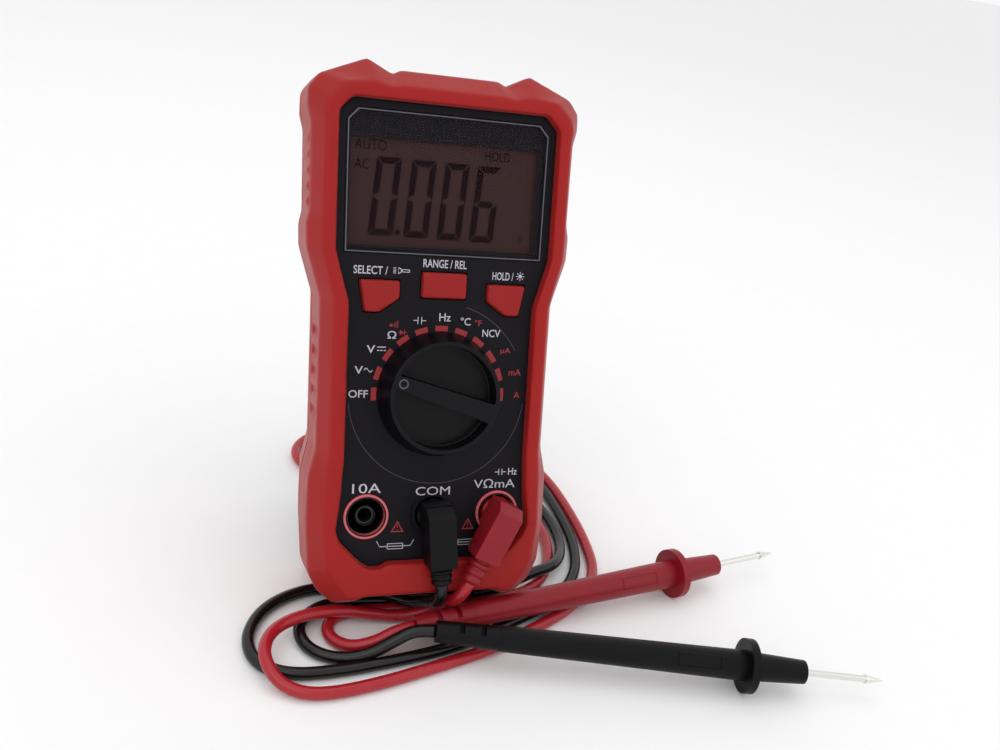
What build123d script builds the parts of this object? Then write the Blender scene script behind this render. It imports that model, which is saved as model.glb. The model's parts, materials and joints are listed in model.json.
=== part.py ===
"""Hand-held digital multimeter leaning back on its stand, with its two test leads on the floor.

The meter is drawn in its own frame: u to the right, v up the face, w out of the face, with the
selector's centre on the face as zero.  The face plane puts that frame in the room, where +Z is up,
the floor is Z = 0 and the meter faces -Y.  All sizes are millimetres.
"""

from build123d import *
import os
from math import atan2, cos, degrees, hypot, radians, sin, tan

# ---------------------------------------------------------------- driving sizes
lean_angle = 20.0  # the meter leans back this far from upright
gap = 0.3  # between pieces that move past each other
seat_gap = 0.15  # around a piece that drops into a pocket

# meter shell, depths are measured along w from the face
ridge_height = 3.1  # outer edge of the rim's flat band
shoulder_depth = 3.3  # where the rim's slope meets the side
case_front_depth = 2.5  # shoulder of the front case under the rim
parting_depth = 17.0  # plane between the two case halves
back_depth = 34.0  # outer face of the back
case_wall = 2.0
face_plate = 2.2  # thickness of the face
back_draft = 2.4  # how far the sides draw in from parting plane to back

# half outlines, from the top centre down the right side to the bottom centre
shoulder_half = [
    (0, 86.3), (13.8, 86.3), (15.8, 85.0), (22.8, 88.5), (35.2, 83.4), (38.0, 79.8), (38.1, 75.0),
    (37.0, 71.0), (36.6, 48.5), (37.4, 45.0), (37.2, 38.6), (33.2, 25.6), (32.9, -15.6),
    (34.8, -23.8), (34.9, -37.0), (34.0, -50.0), (31.5, -55.4), (27.0, -59.5), (22.0, -59.5),
    (19.6, -58.3), (0, -58.3),
]
ridge_half = [
    (0, 81.1), (14.2, 81.1), (17.2, 80.7), (21.2, 81.5), (28.9, 81.2), (33.4, 77.0), (34.2, 74.0),
    (33.8, 70.0), (33.6, 48.5), (33.6, 45.0), (33.4, 38.4), (30.0, 25.0), (29.7, -16.6),
    (30.2, -24.4), (30.6, -37.6), (29.4, -47.2), (27.4, -51.6), (23.6, -56.6), (21.4, -57.0),
    (19.0, -56.0), (0, -56.0),
]
case_half = [
    (0, 82.2), (29.6, 82.2), (34.2, 77.4), (34.2, 74.0), (33.4, 70.0), (33.4, 39.4), (30.0, 26.4),
    (29.8, -16.6), (31.4, -24.4), (31.4, -47.0), (25.4, -54.6), (0, -54.6),
]
face_half = [
    (0, 77.8), (27.0, 77.8), (30.6, 74.0), (30.2, 38.3), (28.0, 30.5), (26.2, 24.6), (26.0, -17.9),
    (26.6, -29.0), (27.6, -37.3), (26.3, -40.7), (20.5, -46.7), (18.0, -48.4), (14.8, -48.4),
    (12.5, -47.1), (0, -47.1),
]
window_half = [(0, 75.3), (25.5, 75.3), (28.2, 72.4), (27.8, 37.9), (0, 37.9)]

# display
aperture_width = 53.6
aperture_low = 39.3
aperture_high = 69.2
window_thick = 1.5
window_proud = 0.3
glass_thick = 2.2
glass_depth = 2.6  # front of the display glass
light_thick = 2.2
board_depth = 8.5  # front of the circuit board
board_thick = 1.6

# selector
knob_radius = 17.4
knob_top_radius = 15.4
knob_height = 8.0
knob_dish_radius = 14.2
knob_dish_floor = 2.8
bar_overlap = 0.8  # the pointer bar runs this far into the knob's rim
nose_turn = 7.0  # half the bar's nose, as seen from the centre, in degrees
tail_turn = 10.5
nose_mark_radius = 1.1  # round mark sunk in the bar's nose
nose_mark_inset = 1.6
nose_mark_depth = 0.4
hub_radius = 6.0
hub_fit = 0.08
rotor_radius = 11.0
rotor_thick = 3.0
pointer_angle = 162.0  # selector set to alternating volts
click_angle = 18.0
click_count = 20
ball_radius = 1.0

# keys
key_travel = 0.5
key_proud = 1.5
key_gap = 0.25
key_flange = 0.8
side_key_half = [(12.4, 30.9), (23.5, 30.9), (21.9, 22.3), (17.9, 22.3), (12.4, 26.1)]
mid_key_width = 12.6
mid_key_low = 26.5
mid_key_high = 33.5

# input jacks
jack_pitch = 19.0
jack_line = -34.1
jack_ring_radius = 6.3
jack_well_radius = 5.1
jack_well_depth = 18.0
jack_tube_radius = 2.9
jack_bore_radius = 2.0
jack_socket_wall = 0.5
jack_length = 20.0
jack_recess = 1.0
jack_ring_proud = 0.5

# back of the meter
pocket_depth = 3.8
stand_width = 36.0
stand_thick = 3.0
stand_angle = 29.0
hinge_line = 30.0
hinge_radius = 1.5
hinge_fit = 0.06
door_width = 27.0
door_low = -25.2
door_high = 28.6
bay_width = 24.0
bay_low = -24.2
bay_high = 24.8
door_thick = 1.8
cell_radius = 5.25
cell_length = 44.5
case_screw_places = [(24.0, 75.6), (24.6, -44.0)]
board_screw_places = [(25.0, 17.6), (22.0, -20.0)]
case_boss_radius = 3.2
case_screw_radius = 1.3
board_screw_radius = 1.0
board_boss_radius = 2.6
heel_end = -59.8  # lower end of the two heels that the meter stands on
heel_width = 6.0
heel_place = 24.5
heel_depth = 8.0
foot_flat = 0.8  # how far the heels' back edge is cut flat

# test leads: x runs along a plug's arm, away from its pin
plug_width = 7.8
plug_top = 11.0
plug_arm = 13.0
plug_lift = 1.0  # underside of a plug above the face
well_clearance = 0.5  # round a plug's shroud in its jack well
shroud_radius = jack_well_radius - well_clearance
shroud_bore = 3.1
shroud_length = 17.5
pin_radius = 1.95
pin_length = 18.5
relief_line = 7.0  # centre of the strain relief above the face
relief_wide = 3.2
relief_narrow = 2.4
lead_radius = 1.75
boot_length = 18.0
boot_radius = 3.0
grip_thin = 3.6
grip_thick = 4.4
guard_radius = 7.75
guard_thick = 2.4
guard_at = 90.7  # from the boot's end to the middle of the guard
collar_end = 108.0
collar_thick = 4.2
collar_thin = 3.4
rod_radius = 1.0
rod_end = 127.2
probe_length = 133.2


# ---------------------------------------------------------------- outlines and placing
def both_sides(half):
    """Whole outline from its right half, anticlockwise seen from the front."""
    left = [(-u, v) for u, v in half if u > 0]
    return left + [(u, v) for u, v in reversed(half)]


def inset(points, distance):
    """Outline moved inwards by a distance, corner for corner."""
    moved = []
    count = len(points)
    for i in range(count):
        (ax, ay), (bx, by), (cx, cy) = points[i - 1], points[i], points[(i + 1) % count]
        before = hypot(bx - ax, by - ay)
        after = hypot(cx - bx, cy - by)
        nx, ny = -(by - ay) / before, (bx - ax) / before
        mx, my = -(cy - by) / after, (cx - bx) / after
        share = distance / (1 + nx * mx + ny * my)
        moved.append((bx + share * (nx + mx), by + share * (ny + my)))
    return moved


def reach(v, w):
    """How far back of the selector's centre a point of the middle section is."""
    return v * sin(radians(lean_angle)) - w * cos(radians(lean_angle))


def rise(v, w):
    """How far above the selector's centre a point of the middle section is."""
    return v * cos(radians(lean_angle)) + w * sin(radians(lean_angle))


shoulder_line = both_sides(shoulder_half)
ridge_line = both_sides(ridge_half)
case_line = both_sides(case_half)
face_line = both_sides(face_half)
window_line = both_sides(window_half)
back_line = inset(shoulder_line, back_draft)
case_back_line = inset(case_line, back_draft)

face_height = -foot_flat - rise(heel_end, -back_depth)
hinge_w = -back_depth + hinge_radius + 0.4
stand_slope = radians(stand_angle - lean_angle)
stand_length = (face_height + rise(hinge_line, hinge_w)) / cos(stand_slope)
ridge_low = min(v for u, v in ridge_half)
top_v = max(v for u, v in back_line)
face_back = -(reach(ridge_low, ridge_height) + reach(top_v, -back_depth)) / 2

face = Plane(
    origin=(0, face_back, face_height),
    x_dir=(1, 0, 0),
    z_dir=(0, -cos(radians(lean_angle)), sin(radians(lean_angle))),
)
out_axis = Axis(face.origin, face.z_dir)


def panel(points, w):
    """Flat face with this outline, at this place along w."""
    with BuildSketch(face.offset(w)) as flat:
        with BuildLine():
            Polyline(*points, close=True)
        make_face()
    return flat.sketch


def block(width, low, high):
    """Corners of a rectangle centred on the middle line."""
    return [(-width / 2, low), (width / 2, low), (width / 2, high), (-width / 2, high)]


def mirrored(places):
    """Places on the right and the same on the left."""
    return [(side * u, v) for u, v in places for side in (1, -1)]


def turned(radius, angle):
    """Point at a radius and an angle from the selector's centre."""
    return (radius * cos(radians(angle)), radius * sin(radians(angle)))


def save(piece, node):
    """Label a finished piece and write it to its own file."""
    piece.part.label = node
    export_step(piece.part, f"parts/{node}.step")


os.makedirs("parts", exist_ok=True)
bottom = (Align.CENTER, Align.CENTER, Align.MIN)
jack_places = [(-jack_pitch, jack_line), (0, jack_line), (jack_pitch, jack_line)]

# ---------------------------------------------------------------- front case
case_screws_at = mirrored(case_screw_places)
board_screws_at = mirrored(board_screw_places)
mid_key_line = block(mid_key_width, mid_key_low, mid_key_high)
hold_key_line = list(reversed(side_key_half))
select_key_line = [(-u, v) for u, v in side_key_half]
key_lines = [select_key_line, mid_key_line, hold_key_line]
torch_w = -13.0
torch_radius = 2.6
aperture_line = block(aperture_width, aperture_low, aperture_high)
window_seat = window_thick - window_proud
click_ring_radius = 14.0
click_ring_wall = 1.4

with BuildPart(face) as front_case:
    extrude(panel(case_line, -parting_depth), amount=parting_depth - case_front_depth)
    extrude(panel(inset(face_line, seat_gap), -case_front_depth), amount=case_front_depth)
    extrude(
        panel(inset(case_line, case_wall), -parting_depth),
        amount=parting_depth - case_front_depth - face_plate,
        mode=Mode.SUBTRACT,
    )
    extrude(
        panel(inset(face_line, seat_gap + case_wall), -case_front_depth - face_plate),
        amount=case_front_depth,
        mode=Mode.SUBTRACT,
    )
    # click ring, bosses for the case screws and for the board
    with Locations((0, 0, -face_plate - rotor_thick - 1.2)):
        Cylinder(click_ring_radius, rotor_thick + 1.2, align=bottom)
        Cylinder(
            click_ring_radius - click_ring_wall, rotor_thick + 1.2, align=bottom, mode=Mode.SUBTRACT
        )
    with Locations(*[(u, v, -parting_depth) for u, v in case_screws_at]):
        Cylinder(case_boss_radius, parting_depth - case_front_depth - 1, align=bottom)
    with Locations(*[(u, v, -board_depth) for u, v in board_screws_at]):
        Cylinder(board_boss_radius, board_depth - case_front_depth - 0.5, align=bottom)
    # openings in the face
    extrude(
        panel(inset(window_line, -seat_gap), -window_seat),
        amount=window_seat + 1,
        mode=Mode.SUBTRACT,
    )
    extrude(panel(aperture_line, -10), amount=11, mode=Mode.SUBTRACT)
    for key_line in key_lines:
        extrude(panel(inset(key_line, -key_gap), -10), amount=11, mode=Mode.SUBTRACT)
    with Locations((0, 0, -10)):
        Cylinder(hub_radius + hub_fit, 11, align=bottom, mode=Mode.SUBTRACT)
    with Locations(*[(u, v, -10) for u, v in jack_places]):
        Cylinder(jack_well_radius, 11, align=bottom, mode=Mode.SUBTRACT)
    with Locations(*[(u, v, -0.9) for u, v in jack_places]):
        Cylinder(jack_ring_radius, 2, align=bottom, mode=Mode.SUBTRACT)
    with Locations(*[turned(click_ring_radius - click_ring_wall, click_angle * i) + (-10,)
                     for i in range(click_count)]):
        Cylinder(0.9, 10 - face_plate, align=bottom, mode=Mode.SUBTRACT)
    # screw holes, and the torch's hole through the top wall
    with Locations(*[(u, v, -parting_depth) for u, v in case_screws_at]):
        Cylinder(case_screw_radius, 10, align=bottom, mode=Mode.SUBTRACT)
    with Locations(*[(u, v, -board_depth) for u, v in board_screws_at]):
        Cylinder(board_screw_radius, 4, align=bottom, mode=Mode.SUBTRACT)
    with Locations(Location((0, 70, torch_w), (-90, 0, 0))):
        Cylinder(torch_radius, 40, align=bottom, mode=Mode.SUBTRACT)
save(front_case, "front_case")

# ---------------------------------------------------------------- rubber bumpers
grip_rib_places = [66.8, 62.7, 58.6, 54.5, 50.4]
grip_notch_places = [16.0, 10.5, 5.0, -0.5, -6.0]

with BuildPart(face) as front_bumper:
    extrude(panel(shoulder_line, -parting_depth), amount=parting_depth - shoulder_depth)
    loft([panel(shoulder_line, -shoulder_depth).face(), panel(ridge_line, ridge_height).face()],
         ruled=True)
    extrude(
        panel(case_line, -parting_depth),
        amount=parting_depth - case_front_depth,
        mode=Mode.SUBTRACT,
    )
    extrude(panel(face_line, -case_front_depth), amount=20, mode=Mode.SUBTRACT)
    # finger notches at the waist and fine ribs beside the display
    with Locations(*[(side * 33.0, v, -9.5) for v in grip_notch_places for side in (1, -1)]):
        Box(1.8, 2.6, 9.0, mode=Mode.SUBTRACT)
    with Locations(*[(side * 36.75, v, -9.5) for v in grip_rib_places for side in (1, -1)]):
        Cylinder(0.8, 9.0)
    with Locations(Location((0, 70, torch_w), (-90, 0, 0))):
        Cylinder(torch_radius, 40, align=bottom, mode=Mode.SUBTRACT)
save(front_bumper, "front_bumper")

rear_depth = back_depth - parting_depth
pocket_floor = back_depth - pocket_depth
pocket_wall = 1.6
foot_line = hinge_line - stand_length
pocket_line = block(stand_width + 2 * gap, foot_line - 4, hinge_line + hinge_radius + 2)
pocket_end = shoulder_half[-1][1] + back_draft
pocket_wall_line = block(stand_width + 2 * (gap + pocket_wall), pocket_end,
                         hinge_line + hinge_radius + 2 + pocket_wall)
with BuildPart(face) as rear_bumper:
    loft([panel(back_line, -back_depth).face(), panel(shoulder_line, -parting_depth).face()],
         ruled=True)
    loft([panel(case_back_line, -back_depth).face(), panel(case_line, -parting_depth).face()],
         ruled=True, mode=Mode.SUBTRACT)
    extrude(panel(inset(pocket_line, -pocket_wall), -pocket_floor + pocket_wall), amount=-20,
            mode=Mode.SUBTRACT)
    with Locations(*[(side * heel_place, heel_end, -back_depth) for side in (1, -1)]):
        Box(heel_width, back_draft + 2.2, heel_depth, align=(Align.CENTER, Align.MIN, Align.MIN))
    split(bisect_by=Plane.XY, keep=Keep.TOP)
save(rear_bumper, "rear_bumper")

# ---------------------------------------------------------------- rear case
door_inside = pocket_floor - door_thick
cell_w = -(door_inside - 0.4 - cell_radius)
bay_front = cell_w + cell_radius + 0.4
bay_cap = 1.2
bay_block = block(door_width + 2 * 1.4, door_low - 1.4, door_high + 1.4)
door_line = block(door_width, door_low, door_high)
hinge_pin_length = 2.0
hinge_span = stand_width + 2 * hinge_pin_length
door_screw_v = 26.3
door_screw_radius = 1.0
screw_head_radius = 2.5

with BuildPart(face) as rear_case:
    loft([panel(case_back_line, -back_depth).face(), panel(case_line, -parting_depth).face()],
         ruled=True)
    loft([panel(inset(case_back_line, case_wall), -back_depth + case_wall).face(),
          panel(inset(case_line, case_wall), -parting_depth).face()],
         ruled=True, mode=Mode.SUBTRACT)
    extrude(panel(pocket_wall_line, -back_depth), amount=pocket_depth + pocket_wall)
    extrude(panel(bay_block, -pocket_floor), amount=pocket_floor + bay_front + bay_cap)
    with Locations(*[(u, v, -back_depth + 0.5) for u, v in case_screws_at]):
        Cylinder(case_boss_radius, rear_depth - 0.5, align=bottom)
    with Locations(*[(side * (stand_width / 2 + gap + 2), hinge_line, -back_depth + 3)
                     for side in (1, -1)]):
        Box(4, 8, 6)
    # the stand's pocket, the cell bay, hinge holes, screw holes
    extrude(panel(pocket_line, -pocket_floor), amount=-20, mode=Mode.SUBTRACT)
    extrude(panel(block(bay_width, bay_low, bay_high), -back_depth),
            amount=back_depth + bay_front, mode=Mode.SUBTRACT)
    extrude(panel(inset(door_line, -seat_gap), -back_depth),
            amount=pocket_depth + door_thick, mode=Mode.SUBTRACT)
    with Locations(Location((0, hinge_line, hinge_w), (0, 90, 0))):
        Cylinder(hinge_radius + hinge_fit, hinge_span + 2 * gap, mode=Mode.SUBTRACT)
    with Locations(*[(u, v, -back_depth - 1) for u, v in case_screws_at]):
        Cylinder(case_screw_radius + 0.1, rear_depth + 2, align=bottom, mode=Mode.SUBTRACT)
    with Locations(*[(u, v, -back_depth - 1) for u, v in case_screws_at]):
        Cylinder(screw_head_radius + 0.2, 4, align=bottom, mode=Mode.SUBTRACT)
    with Locations((0, door_screw_v, -door_inside)):
        Cylinder(door_screw_radius + 0.02, 6, align=bottom, mode=Mode.SUBTRACT)
    split(bisect_by=face.offset(-back_depth), keep=Keep.TOP)
save(rear_case, "rear_case")

with BuildPart(face) as battery_door:
    extrude(panel(door_line, -pocket_floor), amount=door_thick)
    with Locations((0, door_screw_v, -pocket_floor)):
        Cylinder(door_screw_radius + 0.1, door_thick, align=bottom, mode=Mode.SUBTRACT)
        Cylinder(screw_head_radius - 0.6, 0.9, align=bottom, mode=Mode.SUBTRACT)
save(battery_door, "battery_door")

# ---------------------------------------------------------------- screws
def add_screws(places, w, head_radius, head_thick, shaft_radius, length):
    """Pan-head screws driven from the back, head against w, with a cross slot in each."""
    with Locations(*[(u, v, w - head_thick) for u, v in places]):
        Cylinder(head_radius, head_thick, align=bottom)
        Box(head_radius * 1.2, 0.5, 0.8, mode=Mode.SUBTRACT)
        Box(0.5, head_radius * 1.2, 0.8, mode=Mode.SUBTRACT)
    with Locations(*[(u, v, w) for u, v in places]):
        Cylinder(shaft_radius, length, align=bottom)


case_screw_seat = -back_depth + 3
with BuildPart(face) as case_screws:
    add_screws(case_screws_at, case_screw_seat, screw_head_radius, 1.6, case_screw_radius, 22)
save(case_screws, "case_screws")

with BuildPart(face) as door_screw:
    add_screws([(0, door_screw_v)], -pocket_floor + 0.9, screw_head_radius - 0.8, 0.9,
               door_screw_radius, 5.5)
save(door_screw, "door_screw")

board_back = -board_depth - board_thick
with BuildPart(face) as board_screws:
    add_screws(board_screws_at, board_back, 1.9, 1.2, board_screw_radius, 5.0)
save(board_screws, "board_screws")

# ---------------------------------------------------------------- display
with BuildPart(face) as display_window:
    extrude(panel(window_line, -window_seat), amount=window_thick)
save(display_window, "display_window")

glass_back = -glass_depth - glass_thick
glass_line = block(54.6, 37.9, 70.6)
holder_line = block(57.0, 37.0, 71.6)
holder_open = block(53.0, 38.6, 70.2)
light_line = block(52.6, 38.8, 68.0)
strip_line = block(50.0, 68.3, 70.0)

with BuildPart(face) as display_glass:
    extrude(panel(glass_line, glass_back), amount=glass_thick)
save(display_glass, "display_glass")

with BuildPart(face) as display_holder:
    extrude(panel(holder_line, -board_depth), amount=board_depth + glass_back)
    extrude(panel(holder_open, -board_depth), amount=10, mode=Mode.SUBTRACT)
save(display_holder, "display_holder")

with BuildPart(face) as backlight:
    extrude(panel(light_line, glass_back - light_thick), amount=light_thick)
save(backlight, "backlight")

with BuildPart(face) as contact_strip:
    extrude(panel(strip_line, -board_depth), amount=board_depth + glass_back)
save(contact_strip, "contact_strip")

# ---------------------------------------------------------------- circuit board and what it carries
track_radii = [4.6, 6.6, 8.6]
track_width = 1.0
track_thick = 0.1
tag_v = jack_line - 8.2
tag_width = 2.0
tag_thick = 0.8

with BuildPart(face) as circuit_board:
    extrude(panel(inset(case_line, case_wall + 0.8), board_back), amount=board_thick)
    with Locations(*[(u, v, board_back) for u, v in case_screws_at]):
        Cylinder(case_boss_radius + gap, board_thick, align=bottom, mode=Mode.SUBTRACT)
    with Locations(*[(u, v, board_back) for u, v in board_screws_at]):
        Cylinder(board_screw_radius + 0.1, board_thick, align=bottom, mode=Mode.SUBTRACT)
    with Locations(*[(u, v, board_back) for u, v in jack_places]):
        Cylinder(jack_ring_radius + gap, board_thick, align=bottom, mode=Mode.SUBTRACT)
save(circuit_board, "circuit_board")

with BuildPart(face) as switch_tracks:
    for track_radius in track_radii:
        with Locations((0, 0, -board_depth)):
            Cylinder(track_radius + track_width / 2, track_thick, align=bottom)
            Cylinder(track_radius - track_width / 2, track_thick, align=bottom, mode=Mode.SUBTRACT)
save(switch_tracks, "switch_tracks")

switch_height = 3.5
plunger_height = 0.55
key_centres = [(-18.0, 27.6), (0, 30.0), (18.0, 27.6)]
with BuildPart(face) as key_switches:
    with Locations(*[(u, v, -board_depth) for u, v in key_centres]):
        Box(6.0, 6.0, switch_height, align=bottom)
        Cylinder(1.7, switch_height + plunger_height, align=bottom)
save(key_switches, "key_switches")

with BuildPart(face) as buzzer:
    with Locations((-15.0, 46.0, board_back - 3.5)):
        Cylinder(6.5, 3.5, align=bottom)
        Cylinder(0.8, 1.0, align=bottom, mode=Mode.SUBTRACT)
save(buzzer, "buzzer")

with BuildPart(face) as measuring_chip:
    with Locations((4.0, 50.0, board_back - 1.6)):
        Box(12.0, 12.0, 1.6, align=bottom)
save(measuring_chip, "measuring_chip")

with BuildPart(face) as board_components:
    with Locations(*[(16.0, v, board_back - 5.0) for v in (42.0, 49.5, 57.0)]):
        Cylinder(2.5, 5.0, align=bottom)
    with Locations(*[(u, 65.0, board_back - 1.2) for u in (-10.0, -5.0, 0, 5.0, 10.0)]):
        Box(3.2, 1.6, 1.2, align=bottom)
    with Locations((-24.0, 27.0, board_back - 3.6)):
        Box(4.0, 10.0, 3.6, align=bottom)
save(board_components, "board_components")

fuse_u = 21.6
fuse_long_radius = 3.15
fuse_short_radius = 2.5
fuse_lift = 1.0
fuse_long_v = (-15.0, 15.0)
fuse_short_v = (-10.0, 10.0)
fuse_long_w = board_back - fuse_lift - fuse_long_radius
fuse_short_w = board_back - fuse_lift - fuse_short_radius


def fuse(u, radius, w, ends):
    """Glass or ceramic cartridge fuse lying along the meter, with a cap at each end."""
    low, high = ends
    with BuildPart(face) as cartridge:
        with Locations(Location((u, (low + high) / 2, w), (90, 0, 0))):
            Cylinder(radius - 0.25, high - low)
        for v in (low + 2.5, high - 2.5):
            with Locations(Location((u, v, w), (90, 0, 0))):
                Cylinder(radius, 5.0)
    return cartridge


fuse_10a = fuse(-fuse_u, fuse_long_radius, fuse_long_w, fuse_long_v)
save(fuse_10a, "fuse_10a")
fuse_milliamp = fuse(fuse_u, fuse_short_radius, fuse_short_w, fuse_short_v)
save(fuse_milliamp, "fuse_milliamp")

with BuildPart(face) as fuse_clips:
    for side, radius, w, ends in ((-1, fuse_long_radius, fuse_long_w, fuse_long_v),
                                  (1, fuse_short_radius, fuse_short_w, fuse_short_v)):
        for v in (ends[0] + 2.5, ends[1] - 2.5):
            with Locations((side * fuse_u, v, w)):
                Box(2 * radius + 1.0, 3.6, board_back - w, align=bottom)
        with Locations(Location((side * fuse_u, 0, w), (90, 0, 0))):
            Cylinder(radius, 40, mode=Mode.SUBTRACT)
save(fuse_clips, "fuse_clips")

with BuildPart(face) as current_shunt:
    with BuildLine(face) as shunt_path:
        FilletPolyline((-8, -23.4, board_back), (-8, -23.4, board_back - 4.2),
                       (6, -23.4, board_back - 4.2), (6, -23.4, board_back), radius=1.8)
    with BuildSketch(Plane(origin=shunt_path.line @ 0, z_dir=shunt_path.line % 0)):
        Circle(0.8)
    sweep()
save(current_shunt, "current_shunt")

with BuildPart(face) as field_antenna:
    with Locations((11.0, 76.5, board_back - 5.0)):
        Box(15.0, 0.8, 5.0, align=bottom)
save(field_antenna, "field_antenna")

torch_inner = 78.0
torch_outer = 85.9
with BuildPart(face) as torch_lens:
    with Locations(Location((0, torch_inner, torch_w), (-90, 0, 0))):
        Cylinder(torch_radius, torch_outer - torch_inner, align=bottom)
save(torch_lens, "torch_lens")

with BuildPart(face) as torch_lamp:
    with Locations(Location((0, torch_inner - 5.0, torch_w), (-90, 0, 0))):
        Cylinder(2.4, 4.0, align=bottom)
        Cylinder(1.5, 5.0, align=bottom)
save(torch_lamp, "torch_lamp")

# ---------------------------------------------------------------- input jacks
tube_front = -jack_recess
socket_front = tube_front - 0.6
socket_back = socket_front - jack_length
base_front = -jack_well_depth - 2.0
base_thick = 2.5
well_shoulder = -case_front_depth - face_plate - 0.1
well_neck = 0.5
with BuildPart(face) as jack_wells:
    with Locations(*[(u, v, base_front) for u, v in jack_places]):
        Cylinder(jack_ring_radius, well_shoulder - base_front, align=bottom)
        Cylinder(jack_well_radius + well_neck, -face_plate - base_front, align=bottom)
        Cylinder(jack_well_radius, -base_front, align=bottom, mode=Mode.SUBTRACT)
    extrude(panel(block(2 * jack_pitch + 13.0, jack_line - 6.3, jack_line + 6.3),
                  base_front - base_thick), amount=base_thick)
    with Locations(*[(u, v, base_front) for u, v in jack_places]):
        Cylinder(jack_tube_radius, -base_front + tube_front, align=bottom)
    with Locations(*[(u, v, base_front - base_thick) for u, v in jack_places]):
        Cylinder(jack_bore_radius + jack_socket_wall, 40, align=bottom, mode=Mode.SUBTRACT)
save(jack_wells, "jack_wells")

with BuildPart(face) as jack_sockets:
    with Locations(*[(u, v, socket_back) for u, v in jack_places]):
        Cylinder(jack_bore_radius + jack_socket_wall, jack_length, align=bottom)
    with Locations(*[(u, v, socket_back - 2.0) for u, v in jack_places]):
        Cylinder(jack_bore_radius + jack_socket_wall, 2.0, align=bottom)
    with Locations(*[(u, v, socket_back) for u, v in jack_places]):
        Cylinder(jack_bore_radius, jack_length, align=bottom, mode=Mode.SUBTRACT)
    for u, v in jack_places:
        extrude(panel([(u - tag_width / 2, tag_v), (u + tag_width / 2, tag_v),
                       (u + tag_width / 2, v), (u - tag_width / 2, v)], socket_back - 2.0),
                amount=tag_thick)
        extrude(panel([(u - tag_width / 2, tag_v), (u + tag_width / 2, tag_v),
                       (u + tag_width / 2, tag_v + tag_thick), (u - tag_width / 2, tag_v + tag_thick)],
                      socket_back - 2.0), amount=board_back - socket_back + 2.0)
save(jack_sockets, "jack_sockets")

ring_front = jack_ring_proud
ring_seat = -0.9
with BuildPart(face) as red_jack_rings:
    with Locations(*[(u, v, ring_seat) for u, v in jack_places if u]):
        Cylinder(jack_ring_radius, ring_front - ring_seat, align=bottom)
        Cylinder(jack_well_radius, ring_front - ring_seat, align=bottom, mode=Mode.SUBTRACT)
save(red_jack_rings, "red_jack_rings")

with BuildPart(face) as black_jack_ring:
    with Locations((0, jack_line, ring_seat)):
        Cylinder(jack_ring_radius, ring_front - ring_seat, align=bottom)
        Cylinder(jack_well_radius, ring_front - ring_seat, align=bottom, mode=Mode.SUBTRACT)
save(black_jack_ring, "black_jack_ring")

# ---------------------------------------------------------------- cells
cell_pitch = 11.2
cell_middle = (bay_low + bay_high) / 2
nub_length = 1.0
plate_thick = 0.5
plate_width = 8.0
spring_radius = 2.4
for name, side in (("battery_left", -1), ("battery_right", 1)):
    with BuildPart(face) as battery:
        middle = (side * cell_pitch / 2, cell_middle - side * nub_length / 2, cell_w)
        with Locations(Location(middle, (90, 0, 0))):
            Cylinder(cell_radius, cell_length - nub_length)
        nub_at = (side * cell_pitch / 2, cell_middle + side * (cell_length - nub_length) / 2, cell_w)
        with Locations(Location(nub_at, (90, 0, 0))):
            Cylinder(1.9, nub_length)
    save(battery, name)

contact_reach = (bay_high - bay_low - cell_length) / 2
with BuildPart(face) as battery_contacts:
    for side in (-1, 1):
        for end in (-1, 1):
            wall_v = bay_high if end > 0 else bay_low
            with Locations((side * cell_pitch / 2, wall_v - end * plate_thick / 2, cell_w)):
                Box(plate_width, plate_thick, plate_width)
            bump_radius = 1.4 if side == end else spring_radius
            bump = contact_reach - plate_thick
            with Locations(Location((side * cell_pitch / 2,
                                     wall_v - end * (plate_thick + bump / 2), cell_w), (90, 0, 0))):
                Cylinder(bump_radius, bump)
save(battery_contacts, "battery_contacts")

# ---------------------------------------------------------------- selector
rotor_front = -face_plate - gap
rotor_back = rotor_front - rotor_thick
ball_w = (rotor_front + rotor_back) / 2
ball_orbit = click_ring_radius - click_ring_wall - 0.2 - ball_radius
ball_hole_inner = 7.0
knob_base = 0.5
pointer_turns = (pointer_angle, pointer_angle + 180)


def radial_plane(turn):
    """Plane across a radius of the rotor, at the inner end of a ball's hole."""
    u, v = turned(ball_hole_inner, turn)
    du, dv = turned(1, turn)
    origin = face.from_local_coords(Vector(u, v, ball_w))
    along = face.from_local_coords(Vector(u + du, v + dv, ball_w)) - origin
    return Plane(origin=origin, x_dir=face.z_dir, z_dir=along)


with BuildPart(face) as selector_knob:
    with BuildSketch(face.offset(knob_base)):
        Circle(knob_radius)
    with BuildSketch(face.offset(knob_height)):
        Circle(knob_top_radius)
    loft()
    with Locations((0, 0, knob_dish_floor)):
        Cylinder(knob_dish_radius, knob_height, align=bottom, mode=Mode.SUBTRACT)
    nose = [turned(knob_dish_radius + bar_overlap, pointer_angle + turn)
            for turn in (-nose_turn, nose_turn)]
    tail = [turned(knob_dish_radius + bar_overlap, pointer_angle + 180 + turn)
            for turn in (-tail_turn, tail_turn)]
    extrude(panel(nose + tail, knob_dish_floor), amount=knob_height - knob_dish_floor)
    mark = turned(knob_dish_radius - nose_mark_inset, pointer_angle)
    with Locations(mark + (knob_height - nose_mark_depth,)):
        Cylinder(nose_mark_radius, 1, align=bottom, mode=Mode.SUBTRACT)
    with Locations((0, 0, rotor_front)):
        Cylinder(hub_radius, knob_base - rotor_front, align=bottom)
save(selector_knob, "selector_knob")

with BuildPart(face) as selector_rotor:
    with Locations((0, 0, rotor_back)):
        Cylinder(rotor_radius, rotor_thick, align=bottom)
    for turn in pointer_turns:
        with Locations(face.location.inverse() * radial_plane(turn).location):
            Cylinder(ball_radius + 0.05, 10, align=bottom, mode=Mode.SUBTRACT)
save(selector_rotor, "selector_rotor")

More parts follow.
